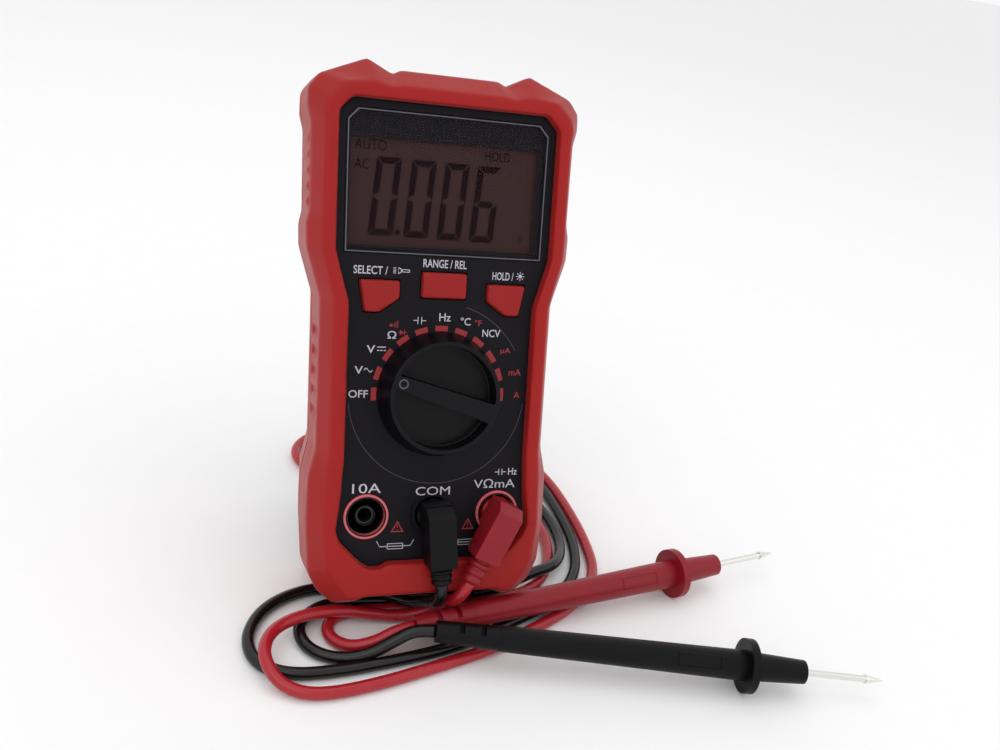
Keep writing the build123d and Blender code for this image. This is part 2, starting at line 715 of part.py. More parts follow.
ball_travel = ball_orbit - ball_hole_inner
with BuildPart() as click_balls:
    for turn in pointer_turns:
        with Locations(radial_plane(turn).offset(ball_travel).location):
            Sphere(ball_radius)
save(click_balls, "click_balls")

with BuildPart() as click_springs:
    for turn in pointer_turns:
        with Locations(radial_plane(turn).location):
            Cylinder(ball_radius - 0.1, ball_travel - ball_radius, align=bottom)
save(click_springs, "click_springs")

wiper_thick = 0.3
with BuildPart(face) as wiper_contacts:
    for turn in (42, 162, 282):
        with Locations(*[turned(radius, turn) + (rotor_back,) for radius in track_radii]):
            Cylinder(0.7, wiper_thick * 2, align=(Align.CENTER, Align.CENTER, Align.MAX))
        with Locations(*[turned(radius, turn) + (-board_depth + track_thick + 0.1,)
                         for radius in track_radii]):
            Cylinder(0.4, board_depth - track_thick - 0.1 + rotor_back, align=bottom)
save(wiper_contacts, "wiper_contacts")

# ---------------------------------------------------------------- keys
flange_back = -face_plate - gap - key_flange
stem_back = -board_depth + switch_height + plunger_height + key_travel + 0.05
key_names = ["select_key", "range_key", "hold_key"]
for name, line, (u, v) in zip(key_names, key_lines, key_centres):
    with BuildPart(face) as key:
        extrude(panel(line, flange_back), amount=key_proud - flange_back)
        fillet(key.edges().group_by(out_axis)[-1], 0.5)
        extrude(panel(inset(line, -key_flange - key_gap), flange_back), amount=key_flange)
        with Locations((u, v, stem_back)):
            Cylinder(1.5, flange_back - stem_back, align=bottom)
    save(key, name)

# ---------------------------------------------------------------- stand
stand_face = Plane(
    origin=face.from_local_coords(Vector(0, hinge_line, hinge_w)),
    x_dir=(1, 0, 0),
    z_dir=(0, -cos(stand_slope), -sin(stand_slope)),
)
stand_back = -(back_depth + hinge_w - 0.1)
with BuildPart(stand_face) as stand:
    with BuildSketch(stand_face.offset(stand_back)):
        with BuildLine():
            Polyline(*block(stand_width, -stand_length - 3, 0), close=True)
        make_face()
    extrude(amount=stand_thick)
    with Locations(Location((0, 0, 0), (0, 90, 0))):
        Cylinder(hinge_radius, hinge_span)
    split(bisect_by=Plane.XY, keep=Keep.TOP)
save(stand, "stand")

# ---------------------------------------------------------------- test leads
def plug_plane(u, turn):
    """Plane on the face at a jack, with x along the plug's arm and z out of the face."""
    origin = face.from_local_coords(Vector(u, jack_line, 0))
    tip = face.from_local_coords(Vector(u + sin(radians(turn)), jack_line - cos(radians(turn)), 0))
    return Plane(origin=origin, x_dir=tip - origin, z_dir=face.z_dir)


def make_plug(name, place, relief_end):
    """Shrouded elbow plug with its ribbed strain relief, and its pin."""
    arm = Vector(place.x_dir)
    side = Plane(origin=place.origin, x_dir=arm, z_dir=arm.cross(Vector(place.z_dir)))
    arm_low = 2.5
    with BuildPart(place) as plug:
        with BuildSketch(side):
            with BuildLine():
                Polyline((-4.2, plug_lift), (4.2, plug_lift), (4.2, arm_low), (plug_arm - 1, arm_low),
                         (plug_arm, arm_low + 1.7), (plug_arm, plug_top), (-1.5, plug_top),
                         (-4.2, 7.5), close=True)
            make_face()
        extrude(amount=plug_width / 2, both=True)
        with Locations((0, 0, plug_lift - shroud_length)):
            Cylinder(shroud_radius, shroud_length, align=bottom)
            Cylinder(shroud_bore, shroud_length - 1.5, align=bottom, mode=Mode.SUBTRACT)
        with Locations((0, 0, plug_lift - shroud_length)):
            Cylinder(pin_radius, shroud_length + 3, align=bottom, mode=Mode.SUBTRACT)
        with Locations(Location((plug_arm, 0, relief_line), (0, 90, 0))):
            Cone(relief_wide - 0.5, relief_narrow, relief_end - plug_arm, align=bottom)
        rib_pitch = (relief_end - plug_arm) / 3
        for i in range(3):
            with Locations(Location((plug_arm + rib_pitch * (i + 0.4), 0, relief_line), (0, 90, 0))):
                Cylinder(relief_wide - 0.15 * i, rib_pitch * 0.55, align=bottom)
    save(plug, name)
    with BuildPart(place) as pin:
        with Locations((0, 0, plug_lift - pin_length)):
            Cylinder(pin_radius, pin_length + 3, align=bottom)
    save(pin, name + "_pin")


def probe_plane(start, end):
    """Plane across a probe at its boot, with z towards its tip."""
    return Plane(origin=start, z_dir=Vector(*end) - Vector(*start))


def make_probe(name, place):
    """Slotted boot, tapered handle with its finger guard, and the tip."""
    with BuildPart(place) as boot:
        Cone(boot_radius, grip_thin - 0.1, boot_length, align=bottom)
        for i, at in enumerate((4.0, 7.0, 10.0, 13.0)):
            with Locations((0, (1 if i % 2 else -1) * boot_radius, at)):
                Box(8, 1.6, 1.5, mode=Mode.SUBTRACT)
    save(boot, name + "_boot")
    with BuildPart(place.offset(boot_length)) as handle:
        Cone(grip_thin, grip_thick, guard_at - boot_length, align=bottom)
        with Locations((0, 0, guard_at - boot_length)):
            Cylinder(guard_radius, guard_thick)
            Cone(collar_thick, collar_thin, collar_end - guard_at, align=bottom)
    save(handle, name + "_handle")
    with BuildPart(place.offset(collar_end)) as tip:
        Cylinder(rod_radius, rod_end - collar_end, align=bottom)
        with Locations((0, 0, rod_end - collar_end)):
            Cone(rod_radius + 0.4, 0.1, probe_length - rod_end, align=bottom)
    save(tip, name + "_tip")


def make_lead(name, points):
    """Round cord of straight runs joined by arcs as large as the runs allow."""
    route = [Vector(*point) for point in points]
    bends = []
    for before, corner, after in zip(route, route[1:], route[2:]):
        turn = (corner - before).get_angle(after - corner)
        shorter = min((corner - before).length, (after - corner).length)
        bends.append(0.45 * shorter / tan(radians(turn / 2)))
    with BuildPart() as lead:
        with BuildLine() as path:
            FilletPolyline(*route, radius=bends)
        with BuildSketch(Plane(origin=path.line @ 0, z_dir=path.line % 0)):
            Circle(lead_radius)
        sweep()
    save(lead, name)
    print(name, round(path.wire().length), "long, bends", [round(bend, 1) for bend in bends])


red_place = plug_plane(jack_pitch, -27.0)
black_place = plug_plane(0, 5.0)
red_relief_end = 20.0
black_relief_end = 18.0
make_plug("red_plug", red_place, red_relief_end)
make_plug("black_plug", black_place, black_relief_end)

red_probe_at = probe_plane((-5.0, -46.0, 7.6), (84.3, -30.6, 7.77))
black_probe_at = probe_plane((-0.5, -51.4, 10.2), (87.5, -73.0, 7.77))
make_probe("red_probe", red_probe_at)
make_probe("black_probe", black_probe_at)

# each lead leaves its plug, lies in a loop left of the meter, runs under the probes, goes round
# behind the meter and comes back under its front edge to its probe
red_exit = [red_place.from_local_coords(Vector(x, 0, relief_line)) for x in (red_relief_end, 26.1)]
red_route = [
    (4.5, -38.6, 9.9), (2.4, -36.9, 5.2), (-5, -35.2, 1.9), (-15, -35, 3.6),
    (-22.5, -34.8, 5.6), (-31.5, -35.3, 5.7), (-40.5, -38, 5.7), (-47.5, -44.5, 5.9),
    (-50.2, -54, 6.0), (-45.5, -62, 2.6), (-36, -66, 1.8), (-20, -63.8, 1.8), (-1, -58.2, 1.8),
    (17, -51.4, 1.8), (34, -44, 1.8), (50, -35, 1.8), (62, -22, 1.8), (65.3, -4, 1.8),
    (66, 15, 1.8), (65, 34, 1.8), (59, 52, 1.8), (44, 64.5, 1.8), (25, 70.5, 1.8), (4, 72, 1.8),
    (-15, 69, 1.8), (-26, 58, 1.8), (-23, 44.5, 1.8), (-8, 39.4, 1.8), (10, 40.2, 1.8),
    (28, 40.5, 1.8), (42, 34, 1.8), (50, 20, 1.8), (52.5, 3, 1.8), (49, -13.5, 1.8),
    (39.5, -26.5, 1.8), (24.5, -31.3, 1.8), (8, -31.6, 1.8), (-7, -31.4, 1.8), (-17.5, -31, 1.8),
    (-26, -33.2, 1.8), (-28.4, -40.2, 1.8), (-23.4, -46, 1.8), (-16, -47.5, 4.3),
]
red_end = [red_probe_at.from_local_coords(Vector(0, 0, -5.0)), red_probe_at.origin]
make_lead("red_lead", red_exit + red_route + red_end)

black_exit = [black_place.from_local_coords(Vector(x, 0, relief_line))
              for x in (black_relief_end, 23.4)]
black_route = [
    (0.4, -38.2, 9.9), (-3.5, -34.2, 6.4), (-8.2, -30.3, 5.8), (-12.3, -26.6, 5.2),
    (-17.5, -22.4, 2.2), (-28.5, -19.8, 1.8), (-41.5, -22.5, 1.8), (-51, -29.5, 1.8),
    (-56, -40.5, 1.8), (-53, -51.5, 1.8), (-42.5, -57, 1.8), (-28, -56.6, 1.8), (-11, -54, 1.8),
    (6, -49.5, 1.8), (23, -42.5, 1.8), (40, -35, 1.8), (54, -23.5, 1.8), (60.5, -7, 1.8),
    (61.8, 12, 1.8), (61, 31, 1.8), (55, 47, 1.8), (41, 58.5, 1.8), (23, 64.5, 1.8),
    (5, 66.5, 1.8), (-8.5, 65, 1.8), (-19, 57, 1.8), (-17.5, 46.5, 1.8), (-6, 43.2, 1.8),
    (9, 44.3, 1.8), (26, 45.5, 1.8), (42, 41, 1.8), (53, 28, 1.8), (57, 11, 1.8), (56, -6, 1.8),
    (48, -20.5, 5.6), (37, -24, 5.6), (26, -26.2, 1.8), (9, -27.8, 1.8), (-9, -27.6, 1.8),
    (-20.5, -26.6, 1.8), (-30, -28.6, 1.8), (-36, -36, 1.8), (-34.5, -45, 1.8),
    (-27, -50.2, 1.8), (-18.5, -51.2, 3.4), (-11.5, -50.9, 7.6),
]
black_end = [black_probe_at.from_local_coords(Vector(0, 0, -5.2)), black_probe_at.origin]
make_lead("black_lead", black_exit + black_route + black_end)
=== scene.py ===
"""Looks of a hand-held digital multimeter with its two test leads.

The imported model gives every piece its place.  This script softens the moulded edges, prints the
dial and the display, lays the leads and gives each piece a procedural material.
"""

import json
import logging
from dataclasses import dataclass, field
from enum import Enum
from math import cos, pi, radians, sin

import bmesh
import bpy
from mathutils import Matrix, Vector
from mathutils.bvhtree import BVHTree

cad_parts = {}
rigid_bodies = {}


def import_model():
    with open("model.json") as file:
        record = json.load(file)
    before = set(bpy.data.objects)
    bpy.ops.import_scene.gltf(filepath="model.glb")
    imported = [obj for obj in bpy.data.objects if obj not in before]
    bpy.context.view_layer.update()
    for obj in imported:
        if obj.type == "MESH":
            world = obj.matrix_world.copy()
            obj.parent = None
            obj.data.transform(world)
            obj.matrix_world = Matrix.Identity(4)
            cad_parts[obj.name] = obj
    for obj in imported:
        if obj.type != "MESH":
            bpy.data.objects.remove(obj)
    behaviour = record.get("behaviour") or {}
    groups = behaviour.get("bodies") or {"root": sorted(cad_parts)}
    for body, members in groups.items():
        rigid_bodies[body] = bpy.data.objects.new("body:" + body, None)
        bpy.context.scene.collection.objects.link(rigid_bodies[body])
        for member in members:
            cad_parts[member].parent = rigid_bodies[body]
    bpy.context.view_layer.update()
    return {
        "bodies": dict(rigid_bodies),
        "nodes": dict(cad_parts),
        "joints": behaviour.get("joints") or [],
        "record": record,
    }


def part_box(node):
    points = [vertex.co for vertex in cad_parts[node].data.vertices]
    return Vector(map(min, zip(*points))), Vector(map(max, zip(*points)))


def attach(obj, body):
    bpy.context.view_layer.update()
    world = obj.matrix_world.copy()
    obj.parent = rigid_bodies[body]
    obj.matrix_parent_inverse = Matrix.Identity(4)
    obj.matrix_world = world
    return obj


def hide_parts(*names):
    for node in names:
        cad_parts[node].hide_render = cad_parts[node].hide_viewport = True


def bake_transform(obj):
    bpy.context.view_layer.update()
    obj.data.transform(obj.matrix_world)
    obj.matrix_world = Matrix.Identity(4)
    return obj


logging.basicConfig(level=logging.INFO, format="%(message)s")
log = logging.getLogger("multimeter")

MM = 0.001
MERGE = 2e-6  # points of a carried-over node that are closer than this, in metres, are one
SHARP = radians(28)  # edges that turn more than this are rounded
LEVEL = radians(1.5)  # faces that turn less than this are made one before a bevel
BEVEL_STEPS = 3
INK_FRONT = 0.05  # front of the printed marks over the face, in millimetres
INK_HEIGHT = 0.03
MOTTLE = 90.0  # patches of mottling to a metre, one every 11 mm
SMEAR = 120.0  # patches of uneven gloss to a metre on clear plastic, one every 8 mm

Outline = list[tuple[float, float]]  # points of the meter's own frame, in millimetres
Route = list[tuple[float, float, float]]  # points of the room, in millimetres


class Body(str, Enum):
    """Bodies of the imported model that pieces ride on."""

    METER = "meter"
    SELECTOR = "selector"
    RED_PLUG = "red_plug_body"
    BLACK_PLUG = "black_plug_body"


# ---------------------------------------------------------------- places
@dataclass
class FacePlane:
    """The meter's own frame: u right, v up the face, w out of it, in millimetres.

    Args:
        origin: the selector's centre on the face, in metres.
        normal: unit vector out of the face.
    """

    origin: Vector
    normal: Vector

    @property
    def up(self) -> Vector:
        """Unit vector up the face."""
        return self.normal.cross(Vector((1, 0, 0)))

    def at(self, u: float, v: float, w: float = 0.0) -> Vector:
        """Returns a point of the meter's frame, in metres."""
        return self.origin + MM * (Vector((1, 0, 0)) * u + self.up * v + self.normal * w)

    def matrix(self, u: float, v: float, w: float) -> Matrix:
        """Returns the matrix that lays a flat shape, in metres, on the face at a point."""
        turn = Matrix((Vector((1, 0, 0)), self.up, self.normal)).transposed().to_4x4()
        return Matrix.Translation(self.at(u, v, w)) @ turn


def face_plane(frame: dict) -> FacePlane:
    """Returns the face's plane, from the selector's joint."""
    joint = next(j for j in frame["joints"] if j["name"] == "selector_turn")
    return FacePlane(Vector(joint["pos_m"]), Vector(joint["axis"]).normalized())


def turned(radius: float, angle: float) -> tuple[float, float]:
    """Returns the point at a radius and an angle in degrees from the selector's centre."""
    return radius * cos(radians(angle)), radius * sin(radians(angle))


def circle(u: float, v: float, radius: float, sides: int) -> Outline:
    """Returns the points of a round outline on the face.

    Args:
        u: place of its middle to the right.
        v: place of its middle up the face.
        radius: its radius, in millimetres.
        sides: how many points it has.

    Returns:
        The points, anticlockwise from the right.
    """
    turns = [radians(360 / sides * i) for i in range(sides)]
    return [(u + radius * cos(turn), v + radius * sin(turn)) for turn in turns]


# ---------------------------------------------------------------- materials
def colour(code: str) -> tuple[float, float, float, float]:
    """Returns a linear colour from sRGB hex digits."""
    parts = [int(code[i:i + 2], 16) / 255 for i in (0, 2, 4)]
    linear = [p / 12.92 if p <= 0.04045 else ((p + 0.055) / 1.055) ** 2.4 for p in parts]
    return (*linear, 1.0)


def add_node(tree: bpy.types.NodeTree, kind: str, inputs: dict | None = None,
             **settings: object) -> bpy.types.Node:
    """Adds one shader node.

    Args:
        tree: the tree to add to.
        kind: the node's type name.
        inputs: values or sockets for its inputs, by name or number.
        **settings: attributes of the node.

    Returns:
        The new node.
    """
    node = tree.nodes.new(kind)
    for name, value in settings.items():
        setattr(node, name, value)
    for name, value in (inputs or {}).items():
        if isinstance(value, bpy.types.NodeSocket):
            tree.links.new(value, node.inputs[name])
        else:
            node.inputs[name].default_value = value
    return node


@dataclass(frozen=True)
class Finish:
    """Surface of one material.

    Args:
        name: the material's name.
        base: sRGB hex colour.
        worn: sRGB hex colour of its lighter or darker mottling.
        roughness: mean roughness.
        spread: how far the roughness varies.
        grain: size of the surface grain, in millimetres.
        relief: height of the grain, in millimetres.
        metallic: one for bare metal.
        coat: strength of a clear gloss over it.
        sheen: strength of soft scatter, as on rubber.
        gloss: strength of its clear reflection, a half for most plastics.
        slot: slot of the record that it belongs to; not used.
    """

    name: str
    base: str
    worn: str
    roughness: float = 0.5
    spread: float = 0.1
    grain: float = 0.5
    relief: float = 0.01
    metallic: float = 0.0
    coat: float = 0.0
    sheen: float = 0.0
    gloss: float = 0.5
    slot: str = ""

    def material(self) -> bpy.types.Material:
        """Returns the material, made at its first use."""
        return bpy.data.materials.get(self.name) or self._build()

    def _build(self) -> bpy.types.Material:
        """Builds the nodes: mottled colour, uneven roughness and a fine moulded grain.

        Returns:
            The new material.
        """
        made = bpy.data.materials.new(self.name)
        made.use_nodes = True
        tree = made.node_tree
        shader = tree.nodes["Principled BSDF"]
        place = add_node(tree, "ShaderNodeTexCoord").outputs["Object"]
        broad = add_node(tree, "ShaderNodeTexNoise",
                         {"Vector": place, "Scale": MOTTLE, "Detail": 4.0, "Roughness": 0.6})
        fine = add_node(tree, "ShaderNodeTexNoise",
                        {"Vector": place, "Scale": 1 / (self.grain * MM), "Detail": 3.0})
        mix = add_node(tree, "ShaderNodeMix",
                       {"Factor": broad.outputs["Fac"], 6: colour(self.base),
                        7: colour(self.worn)}, data_type="RGBA")
        rough = add_node(tree, "ShaderNodeMapRange",
                         {"Value": broad.outputs["Fac"], "From Min": 0.3, "From Max": 0.7,
                          "To Min": self.roughness - self.spread,
                          "To Max": self.roughness + self.spread})
        bump = add_node(tree, "ShaderNodeBump",
                        {"Height": fine.outputs["Fac"], "Strength": 0.6,
                         "Distance": self.relief * MM})
        tree.links.new(mix.outputs[2], shader.inputs["Base Color"])
        tree.links.new(rough.outputs["Result"], shader.inputs["Roughness"])
        tree.links.new(bump.outputs["Normal"], shader.inputs["Normal"])
        shader.inputs["Metallic"].default_value = self.metallic
        shader.inputs["Coat Weight"].default_value = self.coat
        shader.inputs["Coat Roughness"].default_value = 0.15
        shader.inputs["Sheen Weight"].default_value = self.sheen
        shader.inputs["Sheen Roughness"].default_value = 0.4
        shader.inputs["Specular IOR Level"].default_value = self.gloss
        return made


def clear_material(name: str, tint: str, opacity: float, roughness: float) -> bpy.types.Material:
    """Makes a moulded clear acrylic: see-through, with a slightly uneven gloss.

    Args:
        name: the material's name.
        tint: sRGB hex colour of what shows of it.
        opacity: how much it hides of what is behind it.
        roughness: mean roughness.

    Returns:
        The new material.
    """
    made = bpy.data.materials.new(name)
    made.use_nodes = True
    tree = made.node_tree
    shader = tree.nodes["Principled BSDF"]
    place = add_node(tree, "ShaderNodeTexCoord").outputs["Object"]
    smear = add_node(tree, "ShaderNodeTexNoise", {"Vector": place, "Scale": SMEAR, "Detail": 3.0})
    rough = add_node(tree, "ShaderNodeMapRange",
                     {"Value": smear.outputs["Fac"], "To Min": roughness * 0.6,
                      "To Max": roughness * 1.5})
    tree.links.new(rough.outputs["Result"], shader.inputs["Roughness"])
    shader.inputs["Base Color"].default_value = colour(tint)
    shader.inputs["Alpha"].default_value = opacity
    shader.inputs["Specular IOR Level"].default_value = 0.5
    return made


class Palette:
    """Every finish of the meter and its leads."""

    def __init__(self) -> None:
        # Thermoplastic rubber moulded over the case: a dull red with soft, wide highlights.
        self.rim = Finish("rim_red", "92100D", "9E1512", 0.46, 0.06, 0.35, 0.012, sheen=0.08,
                          gloss=0.24, slot="rim_rubber")
        # ABS from a sparked mould: a fine even texture with almost no reflections.
        self.case = Finish("case_charcoal", "0C0910", "110E15", 0.5, 0.08, 0.25, 0.02,
                           gloss=0.14, slot="case_plastic")
        # ABS from a smoother mould: darker than the case, with tighter highlights.
        self.knob = Finish("knob_black", "070609", "0B0A0F", 0.34, 0.08, 0.3, 0.012,
                           gloss=0.16, slot="knob_plastic")
        # Pressed silicone rubber: its edges melt together and shine softly.
        self.key = Finish("key_red", "8C1012", "961616", 0.42, 0.08, 0.3, 0.01, sheen=0.05,
                          gloss=0.25, slot="key_rubber")
        # ABS moulded in a dull dark red.
        self.ring = Finish("ring_red", "5E1118", "66151C", 0.4, 0.06, 0.4, 0.006,
                           gloss=0.25, slot="ring_red")
        # Moulded nylon: near black, with a slight gloss.
        self.black = Finish("moulded_black", "09090B", "0D0D0F", 0.42, 0.08, 0.3, 0.01,
                            gloss=0.2, slot="black_plastic")
        # PVC moulded over plug and probe: smooth, with a waxy gloss.
        self.red_vinyl = Finish("vinyl_red", "80101C", "8C1522", 0.38, 0.07, 0.4, 0.01,
                                gloss=0.3, slot="lead_red")
        # The same PVC in black: only its highlights show its form.
        self.black_vinyl = Finish("vinyl_black", "070608", "0B0A0D", 0.4, 0.08, 0.4, 0.01,
                                  gloss=0.15, slot="lead_black")
        # Extruded silicone: one narrow highlight runs along the cord.
        self.red_cord = Finish("silicone_red", "9C1420", "A81B28", 0.28, 0.06, 0.6, 0.003, coat=0.1,
                               gloss=0.4, slot="cord_red")
        # The same silicone in black.
        self.black_cord = Finish("silicone_black", "09090B", "0E0E10", 0.26, 0.06, 0.6, 0.003,
                                 gloss=0.4, slot="cord_black")
        # Nickel plate on turned brass: bright, with slightly blurred reflections.
        self.nickel = Finish("nickel", "857E75", "6B655E", 0.24, 0.08, 0.2, 0.004, metallic=1.0,
                             slot="nickel")
        # Plated brass sleeve deep in its well: painted shade, its colour darkened to dark grey for
        # the shade of the well, with a dark gleam.
        self.socket = Finish("socket_painted_shade", "3B3B42", "2E2E34", 0.36, 0.08, 0.2, 0.005,
                             metallic=0.7, slot="gold_contact")
        # Zinc-plated steel, stamped: grey, with mottled reflections.
        self.steel = Finish("zinc_steel", "A9AAAD", "8F9094", 0.38, 0.1, 0.2, 0.006, metallic=1.0,
                            slot="steel")
        # Rolled spring brass: a warm yellow gleam.
        self.brass = Finish("spring_brass", "C8A45A", "B08A45", 0.32, 0.1, 0.25, 0.005,
                            metallic=1.0, slot="spring_brass")
        # Glass-epoxy board under solder mask: an even green gloss.
        self.board = Finish("board_green", "14522C", "1B6336", 0.45, 0.08, 0.4, 0.01, slot="board")
        # ABS moulded in white: matt and slightly warm.
        self.white = Finish("moulded_white", "DAD8D2", "CFCCC4", 0.5, 0.08, 0.3, 0.01,
                            slot="white_plastic")
        # Printed film shrunk on a cell: clear gloss over blue.
        self.jacket = Finish("cell_jacket", "20304F", "2A3C60", 0.35, 0.08, 0.4, 0.004, coat=0.3,
                             slot="cell_jacket")
        # Liquid-crystal glass over an unlit backlight: a dull brown field.
        self.screen = Finish("display_panel", "3A2221", "351E1F", 0.55, 0.05, 0.6, 0.002,
                             gloss=0.15, slot="display")
        # Darkened liquid crystal: flat, without a highlight.
        self.digit = Finish("display_segment", "140308", "19050C", 0.6, 0.05, 0.5, 0.002,
                            gloss=0.05, slot="display")
        # Screen print behind the window: flat and near black.
        self.border = Finish("window_border", "0C0710", "100B14", 0.5, 0.05, 0.5, 0.002,
                             gloss=0.15, slot="window")
        # Cut acrylic edge that catches the light: a painted highlight, a thin grey line laid flat
        # round the window.
        self.edge = Finish("window_edge_painted_highlight", "5C5964", "4C4954", 0.3, 0.05, 0.4, 0.004,
                           slot="window")
        # Pad-printed ink, white: matt, with slightly uneven cover.
        self.print_white = Finish("print_white", "BDB9C6", "B2AEBB", 0.6, 0.06, 0.15, 0.004,
                                  slot="white_plastic")
        # Pad-printed ink, red.
        self.print_red = Finish("print_red", "9A2024", "8C1C20", 0.6, 0.06, 0.15, 0.004,
                                slot="ring_red")
        # Pad-printed ink, grey: it barely stands out from the case.
        self.mark_grey = Finish("print_grey", "3C3842", "443F4A", 0.6, 0.06, 0.15, 0.004,
                                slot="case_plastic")


# ---------------------------------------------------------------- building
@dataclass
class Builder:
    """Makes pieces and puts each on its body.

    Args:
        frame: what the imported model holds.
        plane: the meter's own frame.
        palette: the finishes.
        made: names of the pieces made or painted so far.
    """

    frame: dict
    plane: FacePlane
    palette: Palette
    made: list[str] = field(default_factory=list)

    def body_of(self, node: str) -> str:
        """Returns the body that a node belongs to."""
        bodies = self.frame["record"]["behaviour"]["bodies"]
        return next(body for body, nodes in bodies.items() if node in nodes)

    def add(self, name: str, mesh: bpy.types.Mesh, body: str, finish: Finish) -> bpy.types.Object:
        """Makes a piece that rides on a body.

        Args:
            name: the piece's name.
            mesh: its shape.
            body: the body that it rides on.
            finish: its finish.

        Returns:
            The new piece.
        """
        piece = bpy.data.objects.new(name, mesh)
        bpy.context.scene.collection.objects.link(piece)
        mesh.materials.clear()
        mesh.materials.append(finish.material())
        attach(piece, body)
        self.made.append(name)
        return piece

    def paint(self, node: str, material: bpy.types.Material) -> None:
        """Gives a carried-over node another material.

        Args:
            node: the node's name.
            material: its material.
        """
        mesh = self.frame["nodes"][node].data
        mesh.materials.clear()
        mesh.materials.append(material)
        self.made.append(node)

    def soften(self, node: str, finish: Finish, width: float) -> bpy.types.Object:
        """Replaces a node by a copy of its shape with rounded edges.

        Args:
            node: the node to replace.
            finish: its finish.
            width: bevel of its edges, in millimetres.

        Returns:
            The new piece.
        """
        work = bmesh.new()
        work.from_mesh(self.frame["nodes"][node].data)
        bmesh.ops.remove_doubles(work, verts=work.verts, dist=MERGE)
        bmesh.ops.dissolve_limit(work, angle_limit=LEVEL, verts=work.verts, edges=work.edges)
        sharp = [edge for edge in work.edges
                 if edge.is_manifold and edge.calc_face_angle(0) > SHARP]
        bmesh.ops.bevel(work, geom=sharp, offset=width * MM, segments=BEVEL_STEPS, profile=0.5,
                        affect="EDGES", clamp_overlap=False, material=-1)
        mesh = bpy.data.meshes.new(node + "_soft")
        work.normal_update()
        work.to_mesh(mesh)
        work.free()
        mesh.shade_smooth()
        piece = self.add(node + "_moulded", mesh, self.body_of(node), finish)
        weighted = piece.modifiers.new("normals", "WEIGHTED_NORMAL")
        weighted.keep_sharp = True
        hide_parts(node)
        return piece

    def melt(self, node: str, finish: Finish, voxel: float, rounds: int,
             most: int = 130000) -> bpy.types.Object:
        """Replaces a node by a copy whose every edge is rounded as in soft moulded rubber.

        Args:
            node: the node to replace.
            finish: its finish.
            voxel: size of the remeshing grid, in millimetres.
            rounds: how often the surface is smoothed.
            most: triangles that the piece may keep.

        Returns:
            The new piece.
        """
        mesh = self.frame["nodes"][node].data.copy()
        work = bmesh.new()
        work.from_mesh(mesh)
        bmesh.ops.remove_doubles(work, verts=work.verts, dist=MERGE)
        work.to_mesh(mesh)
        work.free()
        carrier = bpy.data.objects.new(node + "_carrier", mesh)
        bpy.context.scene.collection.objects.link(carrier)
        grid = carrier.modifiers.new("grid", "REMESH")
        grid.mode = "VOXEL"
        grid.voxel_size = voxel * MM
        ease = carrier.modifiers.new("ease", "SMOOTH")
        ease.factor = 0.5
        ease.iterations = rounds
        bpy.context.view_layer.update()
        made = bpy.data.meshes.new_from_object(
            carrier.evaluated_get(bpy.context.evaluated_depsgraph_get()))
        share = most / max(1, 2 * len(made.polygons))
        if share < 1:
            carrier.data = made
            carrier.modifiers.clear()
            thin = carrier.modifiers.new("thin", "DECIMATE")
            thin.ratio = share
            bpy.context.view_layer.update()
            made = bpy.data.meshes.new_from_object(
                carrier.evaluated_get(bpy.context.evaluated_depsgraph_get()))
        bpy.data.objects.remove(carrier)
        made.shade_smooth()
        piece = self.add(node + "_moulded", made, self.body_of(node), finish)
        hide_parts(node)
        return piece

    def flat(self, name: str, outline: Outline, w: float, finish: Finish,
             hole: Outline | None = None, body: str = Body.METER.value,
             height: float = 0.04) -> bpy.types.Object:
        """Lays a thin printed or inlaid shape on the face.

        Args:
            name: the piece's name.
            outline: corners in the meter's frame.
            w: place of its front.
            finish: its finish.
            hole: corners of an opening with as many corners as the outline.
            body: the body that it rides on.
            height: its thickness, in millimetres.

        Returns:
            The new piece.
        """
        work = bmesh.new()
        front = [work.verts.new(self.plane.at(u, v, w)) for u, v in outline]
        back = [work.verts.new(self.plane.at(u, v, w - height)) for u, v in outline]
        rings = [(front, back)]
        if hole:
            inner = [work.verts.new(self.plane.at(u, v, w)) for u, v in hole]
            under = [work.verts.new(self.plane.at(u, v, w - height)) for u, v in hole]
            rings.append((inner, under))
            for i in range(len(front)):
                j = (i + 1) % len(front)
                work.faces.new((front[i], front[j], inner[j], inner[i]))
                work.faces.new((back[j], back[i], under[i], under[j]))
        else:
            work.faces.new(front)
            work.faces.new(list(reversed(back)))
        for top, low in rings:
            for i in range(len(top)):
                j = (i + 1) % len(top)
                work.faces.new((low[i], low[j], top[j], top[i]))
        bmesh.ops.recalc_face_normals(work, faces=work.faces)
        mesh = bpy.data.meshes.new(name)
        work.to_mesh(mesh)
        work.free()
        return self.add(name, mesh, body, finish)

    def arc_band(self, name: str, radius: float, width: float, start: float, end: float,
                 w: float, finish: Finish, steps: int = 24) -> bpy.types.Object:
        """Lays part of a ring round the selector's centre on the face.

        Args:
            name: the piece's name.
            radius: radius of its middle line, in millimetres.
            width: its width, in millimetres.
            start: angle of its start, in degrees.
            end: angle of its end.
            w: place of its front.
            finish: its finish.
            steps: how many straight parts it has.

        Returns:
            The new piece.
        """
        turns = [start + (end - start) * i / steps for i in range(steps + 1)]
        outer = [turned(radius + width / 2, turn) for turn in turns]
        inner = [turned(radius - width / 2, turn) for turn in reversed(turns)]
        return self.strip(name, outer, list(reversed(inner)), w, finish)

